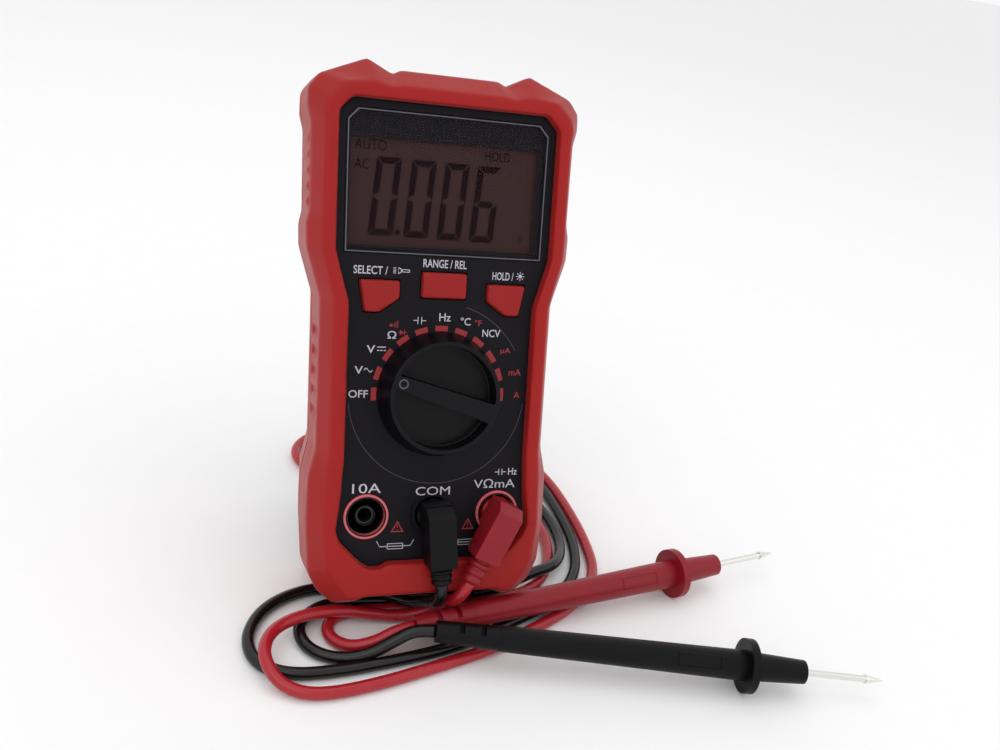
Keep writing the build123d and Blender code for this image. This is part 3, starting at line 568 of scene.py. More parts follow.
    def strip(self, name: str, one: Outline, two: Outline,
              w: float, finish: Finish) -> bpy.types.Object:
        """Lays a strip between two rows of points on the face.

        Args:
            name: the piece's name.
            one: points of one side.
            two: points of the other side.
            w: place of its front.
            finish: its finish.

        Returns:
            The new piece.
        """
        work = bmesh.new()
        first = [work.verts.new(self.plane.at(u, v, w)) for u, v in one]
        second = [work.verts.new(self.plane.at(u, v, w)) for u, v in two]
        for i in range(len(first) - 1):
            work.faces.new((first[i], first[i + 1], second[i + 1], second[i]))
        bmesh.ops.recalc_face_normals(work, faces=work.faces)
        extruded = bmesh.ops.extrude_face_region(work, geom=list(work.faces))
        moved = [item for item in extruded["geom"] if isinstance(item, bmesh.types.BMVert)]
        bmesh.ops.translate(work, verts=moved, vec=self.plane.normal * -INK_HEIGHT * MM)
        bmesh.ops.recalc_face_normals(work, faces=work.faces)
        mesh = bpy.data.meshes.new(name)
        work.to_mesh(mesh)
        work.free()
        return self.add(name, mesh, Body.METER.value, finish)

    def text(self, name: str, words: str, place: tuple[float, float], size: tuple[float, float],
             finish: Finish, w: float = INK_FRONT, bold: float = 0.0) -> bpy.types.Object:
        """Prints words on the face.

        Args:
            name: the piece's name.
            words: what is printed.
            place: where their middle is.
            size: width of the words and height of their capitals, in millimetres.
            finish: their finish.
            w: place of their front.
            bold: how much thicker the strokes are, in millimetres.

        Returns:
            The new piece.
        """
        curve = bpy.data.curves.new(name + "_text", "FONT")
        curve.body = words
        curve.size = size[1] * MM
        curve.extrude = INK_HEIGHT / 2 * MM
        curve.offset = bold * MM
        curve.resolution_u = 3
        carrier = bpy.data.objects.new(name + "_carrier", curve)
        bpy.context.scene.collection.objects.link(carrier)
        bpy.context.view_layer.update()
        mesh = bpy.data.meshes.new_from_object(
            carrier.evaluated_get(bpy.context.evaluated_depsgraph_get()))
        bpy.data.objects.remove(carrier)
        bpy.data.curves.remove(curve)
        xs = [vertex.co.x for vertex in mesh.vertices]
        ys = [vertex.co.y for vertex in mesh.vertices]
        middle = Vector(((min(xs) + max(xs)) / 2, (min(ys) + max(ys)) / 2, 0))
        wide = size[0] * MM / (max(xs) - min(xs))
        tall = size[1] * MM / (max(ys) - min(ys))
        mesh.transform(self.plane.matrix(*place, w) @ Matrix.Diagonal((wide, tall, 1, 1))
                       @ Matrix.Translation(-middle))
        return self.add(name, mesh, Body.METER.value, finish)

    def symbol(self, name: str, shapes: list[Outline], finish: Finish) -> None:
        """Prints a symbol made of several small shapes.

        Args:
            name: the symbol's name, which its shapes' names start with.
            shapes: corners of each shape.
            finish: its finish.
        """
        for index, shape in enumerate(shapes):
            self.flat(f"{name}_{index}", shape, INK_FRONT, finish, height=INK_HEIGHT)


@dataclass
class SubAssembly:
    """Part of the meter that builds and dresses its own pieces.

    Args:
        build: makes the pieces.
    """

    build: Builder

    @property
    def looks(self) -> Palette:
        """Every finish."""
        return self.build.palette

    def dress(self) -> None:
        """Builds and dresses the pieces."""
        raise NotImplementedError


# ---------------------------------------------------------------- shell, knob and keys
@dataclass
class Shell(SubAssembly):
    """The rubber rim, the case halves, the battery door and the stand.

    Args:
        front_grid: remeshing grid of the rim's front half, in millimetres.
        rear_grid: remeshing grid of its rear half.
        case_edge: bevel of the front case.
        back_edge: bevel of the rear case.
        door_edge: bevel of the battery door.
        stand_edge: bevel of the stand.
        screw_edge: bevel of the screws' heads.
    """

    front_grid: float = 0.45
    rear_grid: float = 0.5
    case_edge: float = 0.15
    back_edge: float = 0.2
    door_edge: float = 0.3
    stand_edge: float = 0.5
    screw_edge: float = 0.12

    def dress(self) -> None:
        """Softens the rim, the case halves, the door, the stand and the screws."""
        build, looks = self.build, self.looks
        build.melt("front_bumper", looks.rim, self.front_grid, 26)
        build.melt("rear_bumper", looks.rim, self.rear_grid, 12)
        build.soften("front_case", looks.case, self.case_edge)
        build.soften("rear_case", looks.case, self.back_edge)
        build.soften("battery_door", looks.case, self.door_edge)
        build.soften("stand", looks.case, self.stand_edge)
        build.soften("case_screws", looks.steel, self.screw_edge)
        build.soften("door_screw", looks.steel, self.screw_edge)


@dataclass
class Controls(SubAssembly):
    """The selector's knob and the three keys.

    Args:
        knob_grid: remeshing grid of the knob, in millimetres.
        key_grid: remeshing grid of a key.
        nose_reach: distance of the nose's painted highlight ring from the knob's centre.
        nose_turn: angle of the nose at rest, in degrees.
        nose_outside: outer radius of the ring.
        nose_inside: inner radius of the ring.
        nose_front: front of the ring over the face.
    """

    knob_grid: float = 0.2
    key_grid: float = 0.25
    nose_reach: float = 12.6
    nose_turn: float = 162.0
    nose_outside: float = 1.3
    nose_inside: float = 1.0
    nose_front: float = 8.03

    def dress(self) -> None:
        """Softens the knob and the keys, and lays a grey ring on the knob's nose, a painted
        highlight on the rim of its dimple.
        """
        build, looks = self.build, self.looks
        build.melt("selector_knob", looks.knob, self.knob_grid, 3, 120000)
        # The ring on the nose is a painted highlight, in the same grey as the window's edge
        # highlight.
        place = turned(self.nose_reach, self.nose_turn)
        build.flat("nose_highlight_ring", circle(*place, self.nose_outside, 24), self.nose_front,
                   looks.edge, hole=circle(*place, self.nose_inside, 24),
                   body=Body.SELECTOR.value, height=0.06)
        for node in ("select_key", "range_key", "hold_key"):
            build.melt(node, looks.key, self.key_grid, 40, 30000)


@dataclass
class Jacks(SubAssembly):
    """The jack rings, wells and sockets, with the lips round the wells.

    Args:
        row: place of the jacks up the face, in millimetres.
        pitch: distance from one jack to the next.
        bore: radius of the hole in a lip.
        lip: outer radius of the lips of the outer jacks.
        seat: outer radius of the middle jack's seat.
    """

    row: float = -34.1
    pitch: float = 19.0
    bore: float = 5.15
    lip: float = 5.65
    seat: float = 6.3

    def dress(self) -> None:
        """Softens the jacks and lays a lip round each well."""
        build, looks = self.build, self.looks
        build.soften("red_jack_rings", looks.ring, 0.15)
        build.soften("jack_wells", looks.black, 0.15)
        # The sockets' colour is painted shade: dark grey for the shade deep in their wells.
        build.soften("jack_sockets", looks.socket, 0.08)
        self.ring("jack_lip_left", -self.pitch, self.lip, 0.54, looks.black)
        self.ring("jack_lip_right", self.pitch, self.lip, 0.54, looks.black)
        seat = self.ring("jack_seat", 0.0, self.seat, 0.06, looks.case)
        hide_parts("black_jack_ring")

    def ring(self, name: str, u: float, outside: float, w: float,
             finish: Finish) -> bpy.types.Object:
        """Lays a flat ring round one jack.

        Args:
            name: the piece's name.
            u: place of the jack to the right.
            outside: outer radius, in millimetres.
            w: place of its front.
            finish: its finish.

        Returns:
            The new piece.
        """
        return self.build.flat(name, circle(u, self.row, outside, 48), w, finish,
                               hole=circle(u, self.row, self.bore, 48), height=0.05)


@dataclass
class Inside(SubAssembly):
    """Everything that the shell hides."""

    def dress(self) -> None:
        """Gives what the shell hides its materials."""
        build, looks = self.build, self.looks
        inside = {
            looks.steel: ["board_screws", "battery_contacts", "click_springs", "click_balls"],
            looks.brass: ["switch_tracks", "fuse_clips", "current_shunt", "field_antenna",
                          "wiper_contacts"],
            looks.black: ["key_switches", "buzzer", "measuring_chip", "contact_strip"],
            looks.white: ["display_holder", "backlight", "torch_lamp", "selector_rotor",
                          "fuse_10a"],
            looks.board: ["circuit_board"],
            looks.jacket: ["battery_left", "battery_right", "board_components"],
        }
        for finish, nodes in inside.items():
            for node in nodes:
                build.paint(node, finish.material())
        clear = clear_material("clear_lens", "E6EEF2", 0.35, 0.12)
        for node in ("torch_lens", "fuse_milliamp"):
            build.paint(node, clear)


# ---------------------------------------------------------------- display
SEGMENTS = {"0": "abcdef", "6": "afgedc"}  # segments that are lit in each digit shown


@dataclass
class DigitShape:
    """Slanted seven-segment digit.

    Args:
        left: place of its lower left corner.
        low: place of its foot.
        width: width over the segments.
        height: height over the segments.
        stroke: thickness of a segment.
        lean: how far the top stands right of the foot.
    """

    left: float
    low: float
    width: float = 6.9
    height: float = 20.8
    stroke: float = 1.8
    lean: float = 1.8

    def slanted(self, u: float, v: float) -> tuple[float, float]:
        """Returns a point of the upright digit in its slanted place."""
        return self.left + u + self.lean * v / self.height, self.low + v

    def segment(self, letter: str) -> Outline:
        """Works out one bevelled segment.

        Args:
            letter: the segment's usual letter, a to g.

        Returns:
            Its corners in the meter's frame.
        """
        full, tall, thick, gap = self.width, self.height, self.stroke, 0.16
        half = tall / 2
        if letter in "adg":
            middle = {"a": tall - thick / 2, "d": thick / 2, "g": half}[letter]
            cut = thick / 2
            row = [(gap + cut, middle), (thick + gap, middle + cut),
                   (full - thick - gap, middle + cut), (full - gap - cut, middle),
                   (full - thick - gap, middle - cut), (thick + gap, middle - cut)]
            if letter == "a":
                row = [(gap, tall), (full - gap, tall), (full - thick - gap, tall - thick),
                       (thick + gap, tall - thick)]
            if letter == "d":
                row = [(gap, 0), (thick + gap, thick), (full - thick - gap, thick),
                       (full - gap, 0)]
        else:
            low = half + gap if letter in "bf" else gap * 2
            high = tall - gap * 2 if letter in "bf" else half - gap
            outer = full if letter in "bc" else 0.0
            inner = full - thick if letter in "bc" else thick
            top = thick if letter in "bf" else thick / 2
            bottom = thick / 2 if letter in "bf" else thick
            row = [(outer, low), (outer, high), (inner, high - top), (inner, low + bottom)]
        return [self.slanted(u, v) for u, v in row]


@dataclass
class Display(SubAssembly):
    """The window, its printed border, the panel and what it shows.

    Args:
        print_front: front of the border printed behind the window, over the face.
        edge_front: front of the grey line painted as the highlight of the window's cut edge.
        plate: front of the digits.
    """

    print_front: float = -1.24
    edge_front: float = 0.36
    plate: float = -2.5

    def dress(self) -> None:
        """Makes the window, its printed border, the panel and what it shows."""
        build, looks = self.build, self.looks
        window = [(0, 75.1), (25.4, 75.1), (28.0, 72.3), (27.6, 38.1), (0, 38.1)]
        outline = [(-u, v) for u, v in window[1:-1]] + [(u, v) for u, v in reversed(window[1:-1])]
        seen = [(-27.0, 68.3), (-27.2, 67.9), (-27.0, 39.9),
                (25.6, 39.9), (26.0, 67.9), (25.6, 68.3)]
        build.flat("window_print", outline, self.print_front, looks.border, hole=seen)
        inner = [(u * 0.988, 56.6 + (v - 56.6) * 0.984) for u, v in outline]
        # A grey band painted round the window: the painted highlight of its cut edge.
        build.flat("window_edge", outline, self.edge_front, looks.edge, hole=inner, height=0.08)
        build.paint("display_window", clear_material("window_clear", "0E0A12", 0.05, 0.12))
        build.paint("display_glass", looks.screen.material())
        for index, (digit, left) in enumerate(zip("0006", (-21.2, -11.5, -2.15, 7.15))):
            shape = DigitShape(left, 42.6 - 0.1 * index)
            for letter in SEGMENTS[digit]:
                build.flat(f"digit_{index}_{letter}", shape.segment(letter), self.plate,
                           looks.digit)
        build.flat("decimal_point", circle(-13.0, 43.7, 0.85, 6), self.plate, looks.digit)
        for name, words, place, size in (
            ("shows_auto", "AUTO", (-21.2, 66.3), (8.5, 2.9)),
            ("shows_ac", "AC", (-23.4, 61.2), (4.1, 2.8)),
            ("shows_hold", "HOLD", (14.4, 65.9), (7.2, 2.6)),
            ("shows_unit", "V", (22.3, 44.0), (1.9, 2.1)),
        ):
            build.text(name, words, place, size, looks.digit, self.plate)


# ---------------------------------------------------------------- printed marks
@dataclass(frozen=True)
class Label:
    """One printed label on the face: its words, middle, width and height of its capitals."""

    name: str
    words: str
    u: float
    v: float
    wide: float
    tall: float
    red: bool = False


LABELS = [
    Label("label_off", "OFF", -22.5, 0.0, 5.3, 2.1),
    Label("label_ac_volts", "V", -22.6, 6.5, 2.3, 2.1),
    Label("label_dc_volts", "V", -19.5, 12.2, 2.3, 2.1),
    Label("label_ohms", "Ω", -13.9, 16.2, 2.4, 2.1),
    Label("label_hertz", "Hz", 0.8, 21.4, 3.3, 2.2),
    Label("label_celsius", "°C", 6.8, 20.4, 2.9, 2.2),
    Label("label_fahrenheit", "°F", 10.5, 20.1, 2.0, 1.7, True),
    Label("label_ncv", "NCV", 14.5, 17.3, 5.3, 2.1),
    Label("label_microamps", "µA", 19.0, 12.4, 3.0, 1.8, True),
    Label("label_milliamps", "mA", 22.2, 6.4, 3.7, 1.8, True),
    Label("label_amps", "A", 23.1, -0.1, 1.8, 1.8, True),
    Label("label_select", "SELECT /", -20.4, 33.4, 9.3, 2.2),
    Label("label_range", "RANGE / REL", 0.1, 35.9, 12.3, 2.25),
    Label("label_hold", "HOLD /", 17.0, 33.3, 6.2, 2.2),
    Label("label_10a", "10A", -19.1, -26.2, 8.0, 2.7),
    Label("label_com", "COM", -0.2, -27.4, 10.0, 2.4),
    Label("label_volts_ohms", "VΩmA", 18.0, -25.7, 12.4, 2.6),
    Label("label_jack_hertz", "Hz", 23.3, -22.3, 2.7, 2.0),
]


def bar(u: float, v: float, width: float, height: float) -> Outline:
    """Works out a small upright rectangle.

    Args:
        u: place of its middle to the right.
        v: place of its middle up the face.
        width: its width, in millimetres.
        height: its height, in millimetres.

    Returns:
        Its corners.
    """
    return [(u - width / 2, v - height / 2), (u + width / 2, v - height / 2),
            (u + width / 2, v + height / 2), (u - width / 2, v + height / 2)]


def capacitor(u: float, v: float, size: float) -> list[Outline]:
    """Works out a capacitor symbol.

    Args:
        u: place of its middle to the right.
        v: place of its middle up the face.
        size: how large it is against its usual drawing.

    Returns:
        The corners of each of its bars.
    """
    return [bar(u - 0.32 * size, v, 0.22, 1.2 * size), bar(u + 0.32 * size, v, 0.22, 1.2 * size),
            bar(u - 0.75 * size, v, 0.7 * size, 0.22), bar(u + 0.75 * size, v, 0.7 * size, 0.22)]


@dataclass
class Dial(SubAssembly):
    """The ticks and lines printed round the knob.

    Args:
        positions: how many places the selector has.
        pitch: angle from one place to the next, in degrees.
        tick_radius: radius of the ticks' middle line, in millimetres.
        tick_width: width of a tick.
        tick_half: half the angle that a tick takes.
        line_radius: radius of the outer line.
        line_width: width of the outer line.
    """

    positions: int = 11
    pitch: int = 18
    tick_radius: float = 18.3
    tick_width: float = 1.5
    tick_half: float = 5.6
    line_radius: float = 25.2
    line_width: float = 0.16

    def dress(self) -> None:
        """Prints the ticks and the two parts of the outer line."""
        build, looks = self.build, self.looks
        for index in range(self.positions):
            turn = 180 - self.pitch * index
            build.arc_band(f"tick_{index}", self.tick_radius, self.tick_width,
                           turn - self.tick_half, turn + self.tick_half, 0.06,
                           looks.print_red, 6)
        build.arc_band("dial_line_low", self.line_radius, self.line_width, 186, 354,
                       INK_FRONT, looks.mark_grey, 60)
        build.arc_band("dial_line_high", self.line_radius, self.line_width, 30, 74,
                       INK_FRONT, looks.mark_grey, 24)


@dataclass
class FacePrint(SubAssembly):
    """The words and symbols printed on the face."""

    def dress(self) -> None:
        """Prints every label and symbol on the face."""
        self.labels()
        self.dial_symbols()
        self.key_symbols()
        self.jack_symbols()

    def labels(self) -> None:
        """Prints the words, the small ones with slightly thicker strokes."""
        build, looks = self.build, self.looks
        for label in LABELS:
            finish = looks.print_red if label.red else looks.print_white
            build.text(label.name, label.words, (label.u, label.v), (label.wide, label.tall),
                       finish, bold=0.02 if label.tall < 2.3 else 0.0)

    def dial_symbols(self) -> None:
        """Prints the symbols round the dial and the one over the right jack."""
        build, looks = self.build, self.looks
        build.symbol("direct", [bar(-16.6, 12.8, 2.4, 0.28)]
                     + [bar(-16.6 + shift, 11.9, 0.6, 0.28) for shift in (-0.9, 0, 0.9)],
                     looks.print_white)
        wave = [(-21.2 + 0.24 * i, 6.5 + 0.5 * sin(2 * pi * i / 10)) for i in range(11)]
        build.strip("alternating", [(u, v + 0.15) for u, v in wave],
                    [(u, v - 0.15) for u, v in wave], INK_FRONT, looks.print_white)
        build.symbol("diode", [[(-11.7, 16.2), (-11.7, 17.6), (-10.6, 16.9)],
                                      bar(-10.45, 16.9, 0.22, 1.4), bar(-12.0, 16.9, 0.6, 0.2),
                                      bar(-10.0, 16.9, 0.6, 0.2)], looks.print_red)
        build.symbol("buzz", [bar(-14.2, 18.8, 0.8, 0.7), bar(-13.4, 18.9, 0.22, 1.0),
                                     bar(-12.9, 19.0, 0.22, 1.5), bar(-12.4, 19.1, 0.22, 2.0)],
                     looks.print_red)
        build.symbol("farads", capacitor(-6.3, 20.3, 1.6), looks.print_white)
        build.symbol("jack_farads", capacitor(19.6, -22.4, 1.5), looks.print_white)

    def key_symbols(self) -> None:
        """Prints the torch by the left key and the lit lamp by the right one."""
        build, looks = self.build, self.looks
        head = [(-12.9, 34.4), (-12.9, 32.7)] + [
            (-12.9 + 1.0 * cos(radians(a)), 33.55 + 0.85 * sin(radians(a)))
            for a in range(-75, 76, 25)]
        hollow = [(-12.65 + 0.72 * (u + 12.65), 33.55 + 0.68 * (v - 33.55)) for u, v in head]
        build.flat("torch_head", head, INK_FRONT, looks.print_white, hole=hollow,
                   height=INK_HEIGHT)
        handle = [(-11.9, 33.15), (-9.7, 33.15), (-9.7, 33.95), (-11.9, 33.95)]
        inside = [(-11.7, 33.33), (-9.9, 33.33), (-9.9, 33.77), (-11.7, 33.77)]
        build.flat("torch_handle", handle, INK_FRONT, looks.print_white, hole=inside,
                   height=INK_HEIGHT)
        build.symbol("torch", [bar(-14.1 + 0.42 * (i % 2), 33.55 + 0.36 * (i // 2 - 2),
                                       0.34, 0.16) for i in range(10)], looks.print_white)
        sun = circle(22.1, 33.5, 0.5, 12)
        rays = []
        for a in range(0, 360, 45):
            along = Vector((cos(radians(a)), sin(radians(a))))
            across = Vector((-along.y, along.x))
            rays.append([tuple(Vector((22.1, 33.5)) + along * far + across * side)
                         for far, side in ((0.7, -0.09), (1.25, -0.09), (1.25, 0.09), (0.7, 0.09))])
        build.symbol("light", [sun] + rays, looks.print_white)

    def jack_symbols(self) -> None:
        """Prints the fuses and the warning triangles between the jacks."""
        build, looks = self.build, self.looks
        for side, u, v in (("left", -10.4, -42.9), ("right", 10.2, -42.6)):
            fuse = [bar(u, v + 0.75, 4.4, 0.2), bar(u, v - 0.75, 4.4, 0.2),
                    bar(u - 2.2, v, 0.2, 1.7), bar(u + 2.2, v, 0.2, 1.7), bar(u, v, 9.0, 0.22),
                    [(u - 4.4, v - 0.1), (u - 4.4, v + 0.14),
                     (u - 5.2, v + 1.7), (u - 5.4, v + 1.6)],
                    [(u + 4.4, v + 0.14), (u + 4.4, v - 0.1),
                     (u + 5.4, v + 1.6), (u + 5.2, v + 1.7)]]
            build.symbol(f"fuse_mark_{side}", fuse, looks.print_white)
            middle = u + 0.4
            outer = [(middle - 1.9, -38.9), (middle + 1.9, -38.9), (middle, -35.6)]
            inner = [(middle - 1.25, -38.5), (middle + 1.25, -38.5), (middle, -36.3)]
            build.flat(f"warning_{side}", outer, INK_FRONT, looks.print_red, hole=inner,
                       height=INK_HEIGHT)
            build.symbol(f"warning_mark_{side}",
                         [bar(middle, -37.3, 0.25, 0.9), bar(middle, -38.15, 0.25, 0.25)],
                         looks.print_red)


# ---------------------------------------------------------------- leads
LEAD_DIAMETER = 3.5 * MM

RED_ROUTE = [
    (9.92, -43.79, 20.63), (7.15, -45.65, 15.52),
    (4.5, -38.6, 9.9), (2.4, -36.9, 5.2), (-5, -35.2, 1.9), (-15, -35, 3.6),
    (-22.5, -34.8, 5.6), (-31.5, -35.3, 5.7), (-39.5, -38, 5.7), (-45, -43.5, 5.9),
    (-46.8, -51.8, 6.0), (-42.8, -58.8, 2.6), (-34.4, -62.6, 1.8), (-19.4, -61, 1.8),
    (-1, -56.4, 1.8),
    (17, -51.4, 1.8), (34, -44, 1.8), (50, -35, 1.8), (62, -22, 1.8), (65.3, -4, 1.8),
    (66, 15, 1.8), (65, 34, 1.8), (59, 52, 1.8), (44, 64.5, 1.8), (25, 70.5, 1.8), (4, 72, 1.8),
    (-15, 69, 1.8), (-26, 58, 1.8), (-23, 44.5, 1.8), (-8, 39.4, 1.8), (10, 40.2, 1.8),
    (28, 40.5, 1.8), (42, 34, 1.8), (50, 20, 1.8), (52.5, 3, 1.8), (49, -13.5, 1.8),
    (39.5, -26.5, 1.8), (24.5, -31.3, 1.8), (8, -31.6, 1.8), (-7, -31.4, 1.8), (-17.5, -31, 1.8),
    (-26, -33.2, 1.8), (-28.4, -40.2, 1.8), (-23.4, -46, 1.8), (-16, -47.5, 4.3),
    (-9.93, -46.85, 7.59), (-5.0, -46.0, 7.6),
]

BLACK_ROUTE = [
    (1.57, -43.83, 20.52), (2.04, -45.67, 15.47),
    (0.4, -38.2, 9.9), (-3.5, -34.2, 6.4), (-8.2, -30.3, 5.8), (-12.3, -26.6, 5.2),
    (-17.5, -22.4, 2.2), (-28.5, -19.8, 1.8), (-39.2, -23.6, 1.8), (-46.4, -30.4, 1.8),
    (-50.2, -40.2, 1.8), (-48, -49.6, 1.8), (-39.8, -54.4, 1.8), (-27, -54.6, 1.8),
    (-11, -52.6, 1.8),
    (6, -49.5, 1.8), (23, -42.5, 1.8), (40, -35, 1.8), (54, -23.5, 1.8), (60.5, -7, 1.8),
    (61.8, 12, 1.8), (61, 31, 1.8), (55, 47, 1.8), (41, 58.5, 1.8), (23, 64.5, 1.8),
    (5, 66.5, 1.8), (-8.5, 65, 1.8), (-19, 57, 1.8), (-17.5, 46.5, 1.8), (-6, 43.2, 1.8),
    (9, 44.3, 1.8), (26, 45.5, 1.8), (42, 41, 1.8), (53, 28, 1.8), (57, 11, 1.8), (56, -6, 1.8),
    (48, -20.5, 5.6), (37, -24, 5.6), (26, -26.2, 1.8), (9, -27.8, 1.8), (-9, -27.6, 1.8),
    (-20.5, -26.6, 1.8), (-30, -28.6, 1.8), (-36, -36, 1.8), (-34.5, -45, 1.8),
    (-27, -50.2, 1.8), (-18.5, -51.2, 3.4), (-11.5, -50.9, 7.6),
    (-5.55, -50.16, 10.34), (-0.5, -51.4, 10.2),
]


def nurbs_points(name: str, route: Route) -> list[Vector]:
    """Works out the smooth line that a route's points control.

    Args:
        name: which lead.
        route: its control points.

    Returns:
        Points along the line, in metres.
    """
    curve = bpy.data.curves.new(name + "_line", "CURVE")
    curve.dimensions = "3D"
    spline = curve.splines.new("NURBS")
    spline.points.add(len(route) - 1)
    for point, (x, y, z) in zip(spline.points, route):
        point.co = (x * MM, y * MM, z * MM, 1)
    spline.order_u = 3
    spline.use_endpoint_u = True
    spline.resolution_u = 10
    carrier = bpy.data.objects.new(name + "_carrier", curve)
    bpy.context.scene.collection.objects.link(carrier)
    bpy.context.view_layer.update()
    mesh = bpy.data.meshes.new_from_object(
        carrier.evaluated_get(bpy.context.evaluated_depsgraph_get()))
    points = [vertex.co.copy() for vertex in mesh.vertices]
    bpy.data.objects.remove(carrier)
    bpy.data.curves.remove(curve)
    bpy.data.meshes.remove(mesh)
    return points


def tube_mesh(name: str, points: list[Vector], radius: float, sides: int = 16) -> bpy.types.Mesh:
    """Makes a round tube that follows points, closed at both ends.

    Args:
        name: the mesh's name.
        points: its middle line, in metres.
        radius: its radius, in metres.
        sides: faces round it.

    Returns:
        The new mesh.
    """
    work = bmesh.new()
    across = Vector((1, 0, 0))
    rings = []
    for index, point in enumerate(points):
        ahead = points[min(index + 1, len(points) - 1)] - points[max(index - 1, 0)]
        ahead.normalize()
        across = (across - ahead * across.dot(ahead)).normalized()
        beside = ahead.cross(across)
        rings.append([work.verts.new(point + radius * (across * cos(2 * pi * i / sides)
                                                       + beside * sin(2 * pi * i / sides)))
                      for i in range(sides)])
    for one, two in zip(rings, rings[1:]):
        for i in range(sides):
            j = (i + 1) % sides
            work.faces.new((one[i], one[j], two[j], two[i]))
    work.faces.new(list(reversed(rings[0])))
    work.faces.new(rings[-1])
    bmesh.ops.recalc_face_normals(work, faces=work.faces)
    mesh = bpy.data.meshes.new(name)
    work.to_mesh(mesh)
    work.free()
    mesh.shade_smooth()
    return mesh


@dataclass
class Leads(SubAssembly):
    """The plugs, the leads and the probes.

    Args:
        frame_near: where a handle's raised frame starts, from the cord's end, in millimetres.
        frame_far: where it ends.
        frame_half: half its width.
        frame_line: width of its line.
    """

    frame_near: float = 68.5
    frame_far: float = 81.5
    frame_half: float = 2.1
    frame_line: float = 0.45

    def dress(self) -> None:
        """Makes the plugs, the probes and the leads."""
        build, looks = self.build, self.looks
        for side, vinyl, silicone, body, route in (
            ("red", looks.red_vinyl, looks.red_cord, Body.RED_PLUG, RED_ROUTE),
            ("black", looks.black_vinyl, looks.black_cord, Body.BLACK_PLUG, BLACK_ROUTE),
        ):
            build.melt(f"{side}_plug", vinyl, 0.25, 7, 80000)
            build.paint(f"{side}_plug_pin", looks.nickel.material())
            for part in ("boot", "handle"):
                build.paint(f"{side}_probe_{part}", vinyl.material())
            build.paint(f"{side}_probe_tip", looks.nickel.material())
            self.frame_handle(side, route[-1], vinyl)
            self.lay_lead(side, route, silicone, body)

    def frame_handle(self, side: str, start: tuple[float, float, float],
                     finish: Finish) -> None:
        """Moulds a raised frame on a probe's handle, near its guard.

        Args:
            side: which probe.
            start: the cord's end in the probe's boot, in millimetres.
            finish: the handle's finish.
        """
        build = self.build
        handle = build.frame["nodes"][f"{side}_probe_handle"]
        low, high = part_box(f"{side}_probe_tip")
        root = Vector(start) * MM
        along = ((low + high) / 2 - root).normalized()
        outwards = Vector((-0.25, -0.75, 0.6))
        outwards = (outwards - along * outwards.dot(along)).normalized()
        across = outwards.cross(along)
        tree = BVHTree.FromObject(handle, bpy.context.evaluated_depsgraph_get())

        def lay(reach: float, side_step: float, lift: float) -> Vector:
            """Returns a point just off the handle's skin, in metres."""
            above = root + MM * (along * reach + across * side_step + outwards * 12)
            hit = tree.ray_cast(above, -outwards)[0]
            return (hit or above) + outwards * lift * MM

        near, far, half, line = self.frame_near, self.frame_far, self.frame_half, self.frame_line
        corners = [(near, -half), (far, -half), (far, half), (near, half)]
        work = bmesh.new()
        steps = 12
        rings: list[list[bmesh.types.BMVert]] = [[], [], []]
        for (a, b), (c, d) in zip(corners, corners[1:] + corners[:1]):
            for i in range(steps):
                reach, step = a + (c - a) * i / steps, b + (d - b) * i / steps
                middle = (near + far) / 2
                shrink_along = 1 - 2 * line / (far - near)
                shrink_across = 1 - line / half
                rings[0].append(work.verts.new(lay(reach, step, -0.1)))
                ridge = middle + (reach - middle) * (1 + shrink_along) / 2
                rings[1].append(work.verts.new(lay(ridge, step * (1 + shrink_across) / 2, 0.22)))
                rings[2].append(work.verts.new(lay(middle + (reach - middle) * shrink_along,
                                                   step * shrink_across, -0.1)))
        count = len(rings[0])
        for one, two in zip(rings, rings[1:] + rings[:1]):
            for i in range(count):
                j = (i + 1) % count
                work.faces.new((one[i], one[j], two[j], two[i]))
        bmesh.ops.recalc_face_normals(work, faces=work.faces)
        mesh = bpy.data.meshes.new(f"{side}_grip_frame")
        work.to_mesh(mesh)
        work.free()
        build.add(f"{side}_grip_frame", mesh, Body.METER.value, finish)

    def lay_lead(self, side: str, route: Route,
                 finish: Finish, plug_body: Body) -> None:
        """Lays one lead from its plug to its probe.

        Args:
            side: which lead, red or black.
            route: its control points, in millimetres.
            finish: its finish.
            plug_body: the body of its plug; not used.
        """
        build = self.build
        points = nurbs_points(side, route)
        mesh = tube_mesh(f"{side}_cord", points, LEAD_DIAMETER / 2)
        mesh.materials.append(finish.material())
        cord = bpy.data.objects.new(f"{side}_cord", mesh)
        bpy.context.scene.collection.objects.link(cord)
        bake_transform(cord)
        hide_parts(f"{side}_lead")
        build.made.append(cord.name)


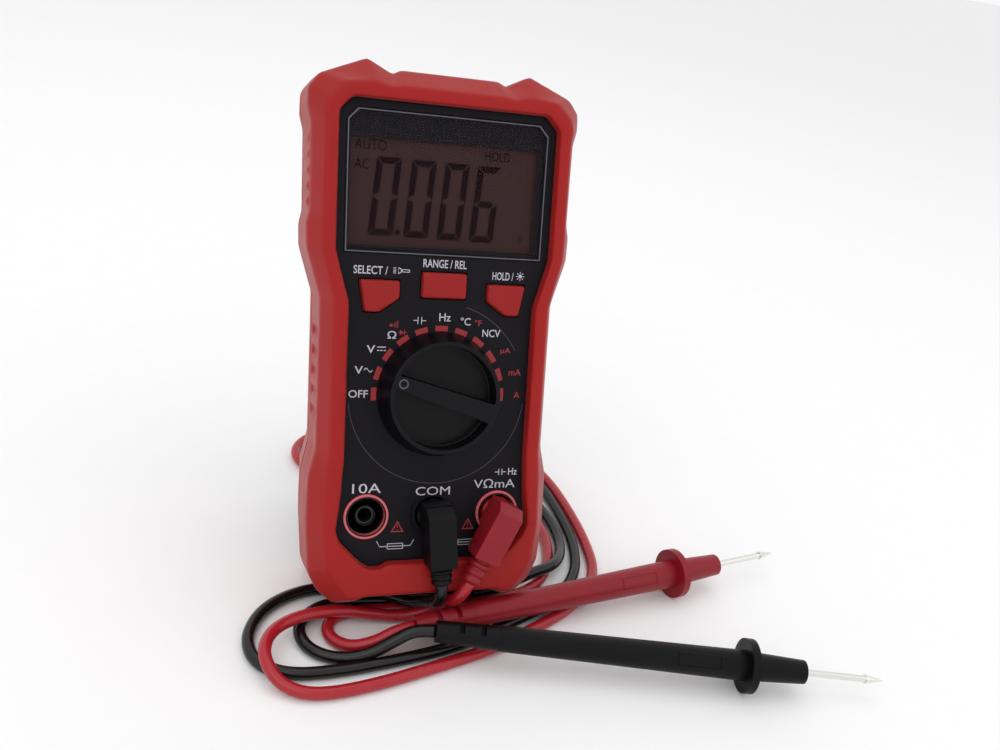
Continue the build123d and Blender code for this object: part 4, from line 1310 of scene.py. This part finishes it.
# ---------------------------------------------------------------- room
@dataclass
class Room(SubAssembly):
    """The floor, the lights and the camera.

    Args:
        floor_half: half the floor's side, in metres.
        sky: strength of the even light.
        focal_length: the camera's focal length, in millimetres.
        eye_place: where the camera stands, in millimetres.
    """

    floor_half: float = 6.0
    sky: float = 0.95
    focal_length: float = 36.0
    eye_place: tuple[float, float, float] = (-77.85, -252.8, 195.7)

    def dress(self) -> None:
        """Makes the pale floor, the lights and the camera."""
        self.floor()
        self.daylight()
        self.lamps()
        self.camera()

    def floor(self) -> None:
        """Lays the floor and sets how the picture is developed."""
        bpy.context.scene.view_settings.view_transform = "Standard"
        work = bmesh.new()
        bmesh.ops.create_grid(work, x_segments=1, y_segments=1, size=self.floor_half)
        mesh = bpy.data.meshes.new("floor")
        work.to_mesh(mesh)
        work.free()
        floor = bpy.data.objects.new("floor", mesh)
        bpy.context.scene.collection.objects.link(floor)
        pale = Finish("floor_pale", "F4F4F5", "F1F1F2", 0.7, 0.05, 2.0, 0.01)
        mesh.materials.append(pale.material())

    def daylight(self) -> None:
        """Lights the room evenly from all sides."""
        world = bpy.data.worlds.new("studio")
        bpy.context.scene.world = world
        world.use_nodes = True
        world.node_tree.nodes["Background"].inputs["Color"].default_value = colour("FFFFFF")
        world.node_tree.nodes["Background"].inputs["Strength"].default_value = self.sky

    def lamps(self) -> None:
        """Hangs three wide lamps that look at the meter's middle."""
        for name, place, size, power in (
            ("key_light", (-0.5, -0.6, 0.9), 0.7, 1.6),
            ("fill_light", (0.8, -0.5, 0.6), 0.8, 0.5),
            ("top_light", (0.0, 0.3, 1.1), 0.9, 1.6),
        ):
            lamp = bpy.data.lights.new(name, "AREA")
            lamp.energy = power
            lamp.size = size
            holder = bpy.data.objects.new(name, lamp)
            holder.location = place
            aim = Vector((0, 0, 0.06)) - Vector(place)
            holder.rotation_euler = aim.to_track_quat("-Z", "Y").to_euler()
            bpy.context.scene.collection.objects.link(holder)

    def camera(self) -> None:
        """Stands the camera in front of the meter, at its left."""
        lens = bpy.data.cameras.new("camera")
        lens.sensor_width = 36.0
        lens.lens = self.focal_length
        lens.clip_start = 0.01
        eye = bpy.data.objects.new("camera", lens)
        right = Vector((0.941, -0.2945, 0.168)).normalized()
        look = Vector((0.339, 0.833, -0.437))
        look = (look - right * look.dot(right)).normalized()
        upward = right.cross(look)
        turn = Matrix((right, upward, -look)).transposed().to_4x4()
        eye.matrix_world = Matrix.Translation(Vector(self.eye_place) * MM) @ turn
        bpy.context.scene.collection.objects.link(eye)
        bpy.context.scene.camera = eye


def main() -> None:
    """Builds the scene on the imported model, one sub-assembly after another."""
    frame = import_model()
    build = Builder(frame, face_plane(frame), Palette())
    for part in (Shell(build), Controls(build), Jacks(build), Inside(build), Display(build),
                 Dial(build), FacePrint(build), Leads(build), Room(build)):
        first = len(build.made)
        part.dress()
        for name in build.made[first:]:
            log.info("%s: %s", type(part).__name__, name)
    bpy.context.view_layer.update()


if __name__ == "__main__":
    main()
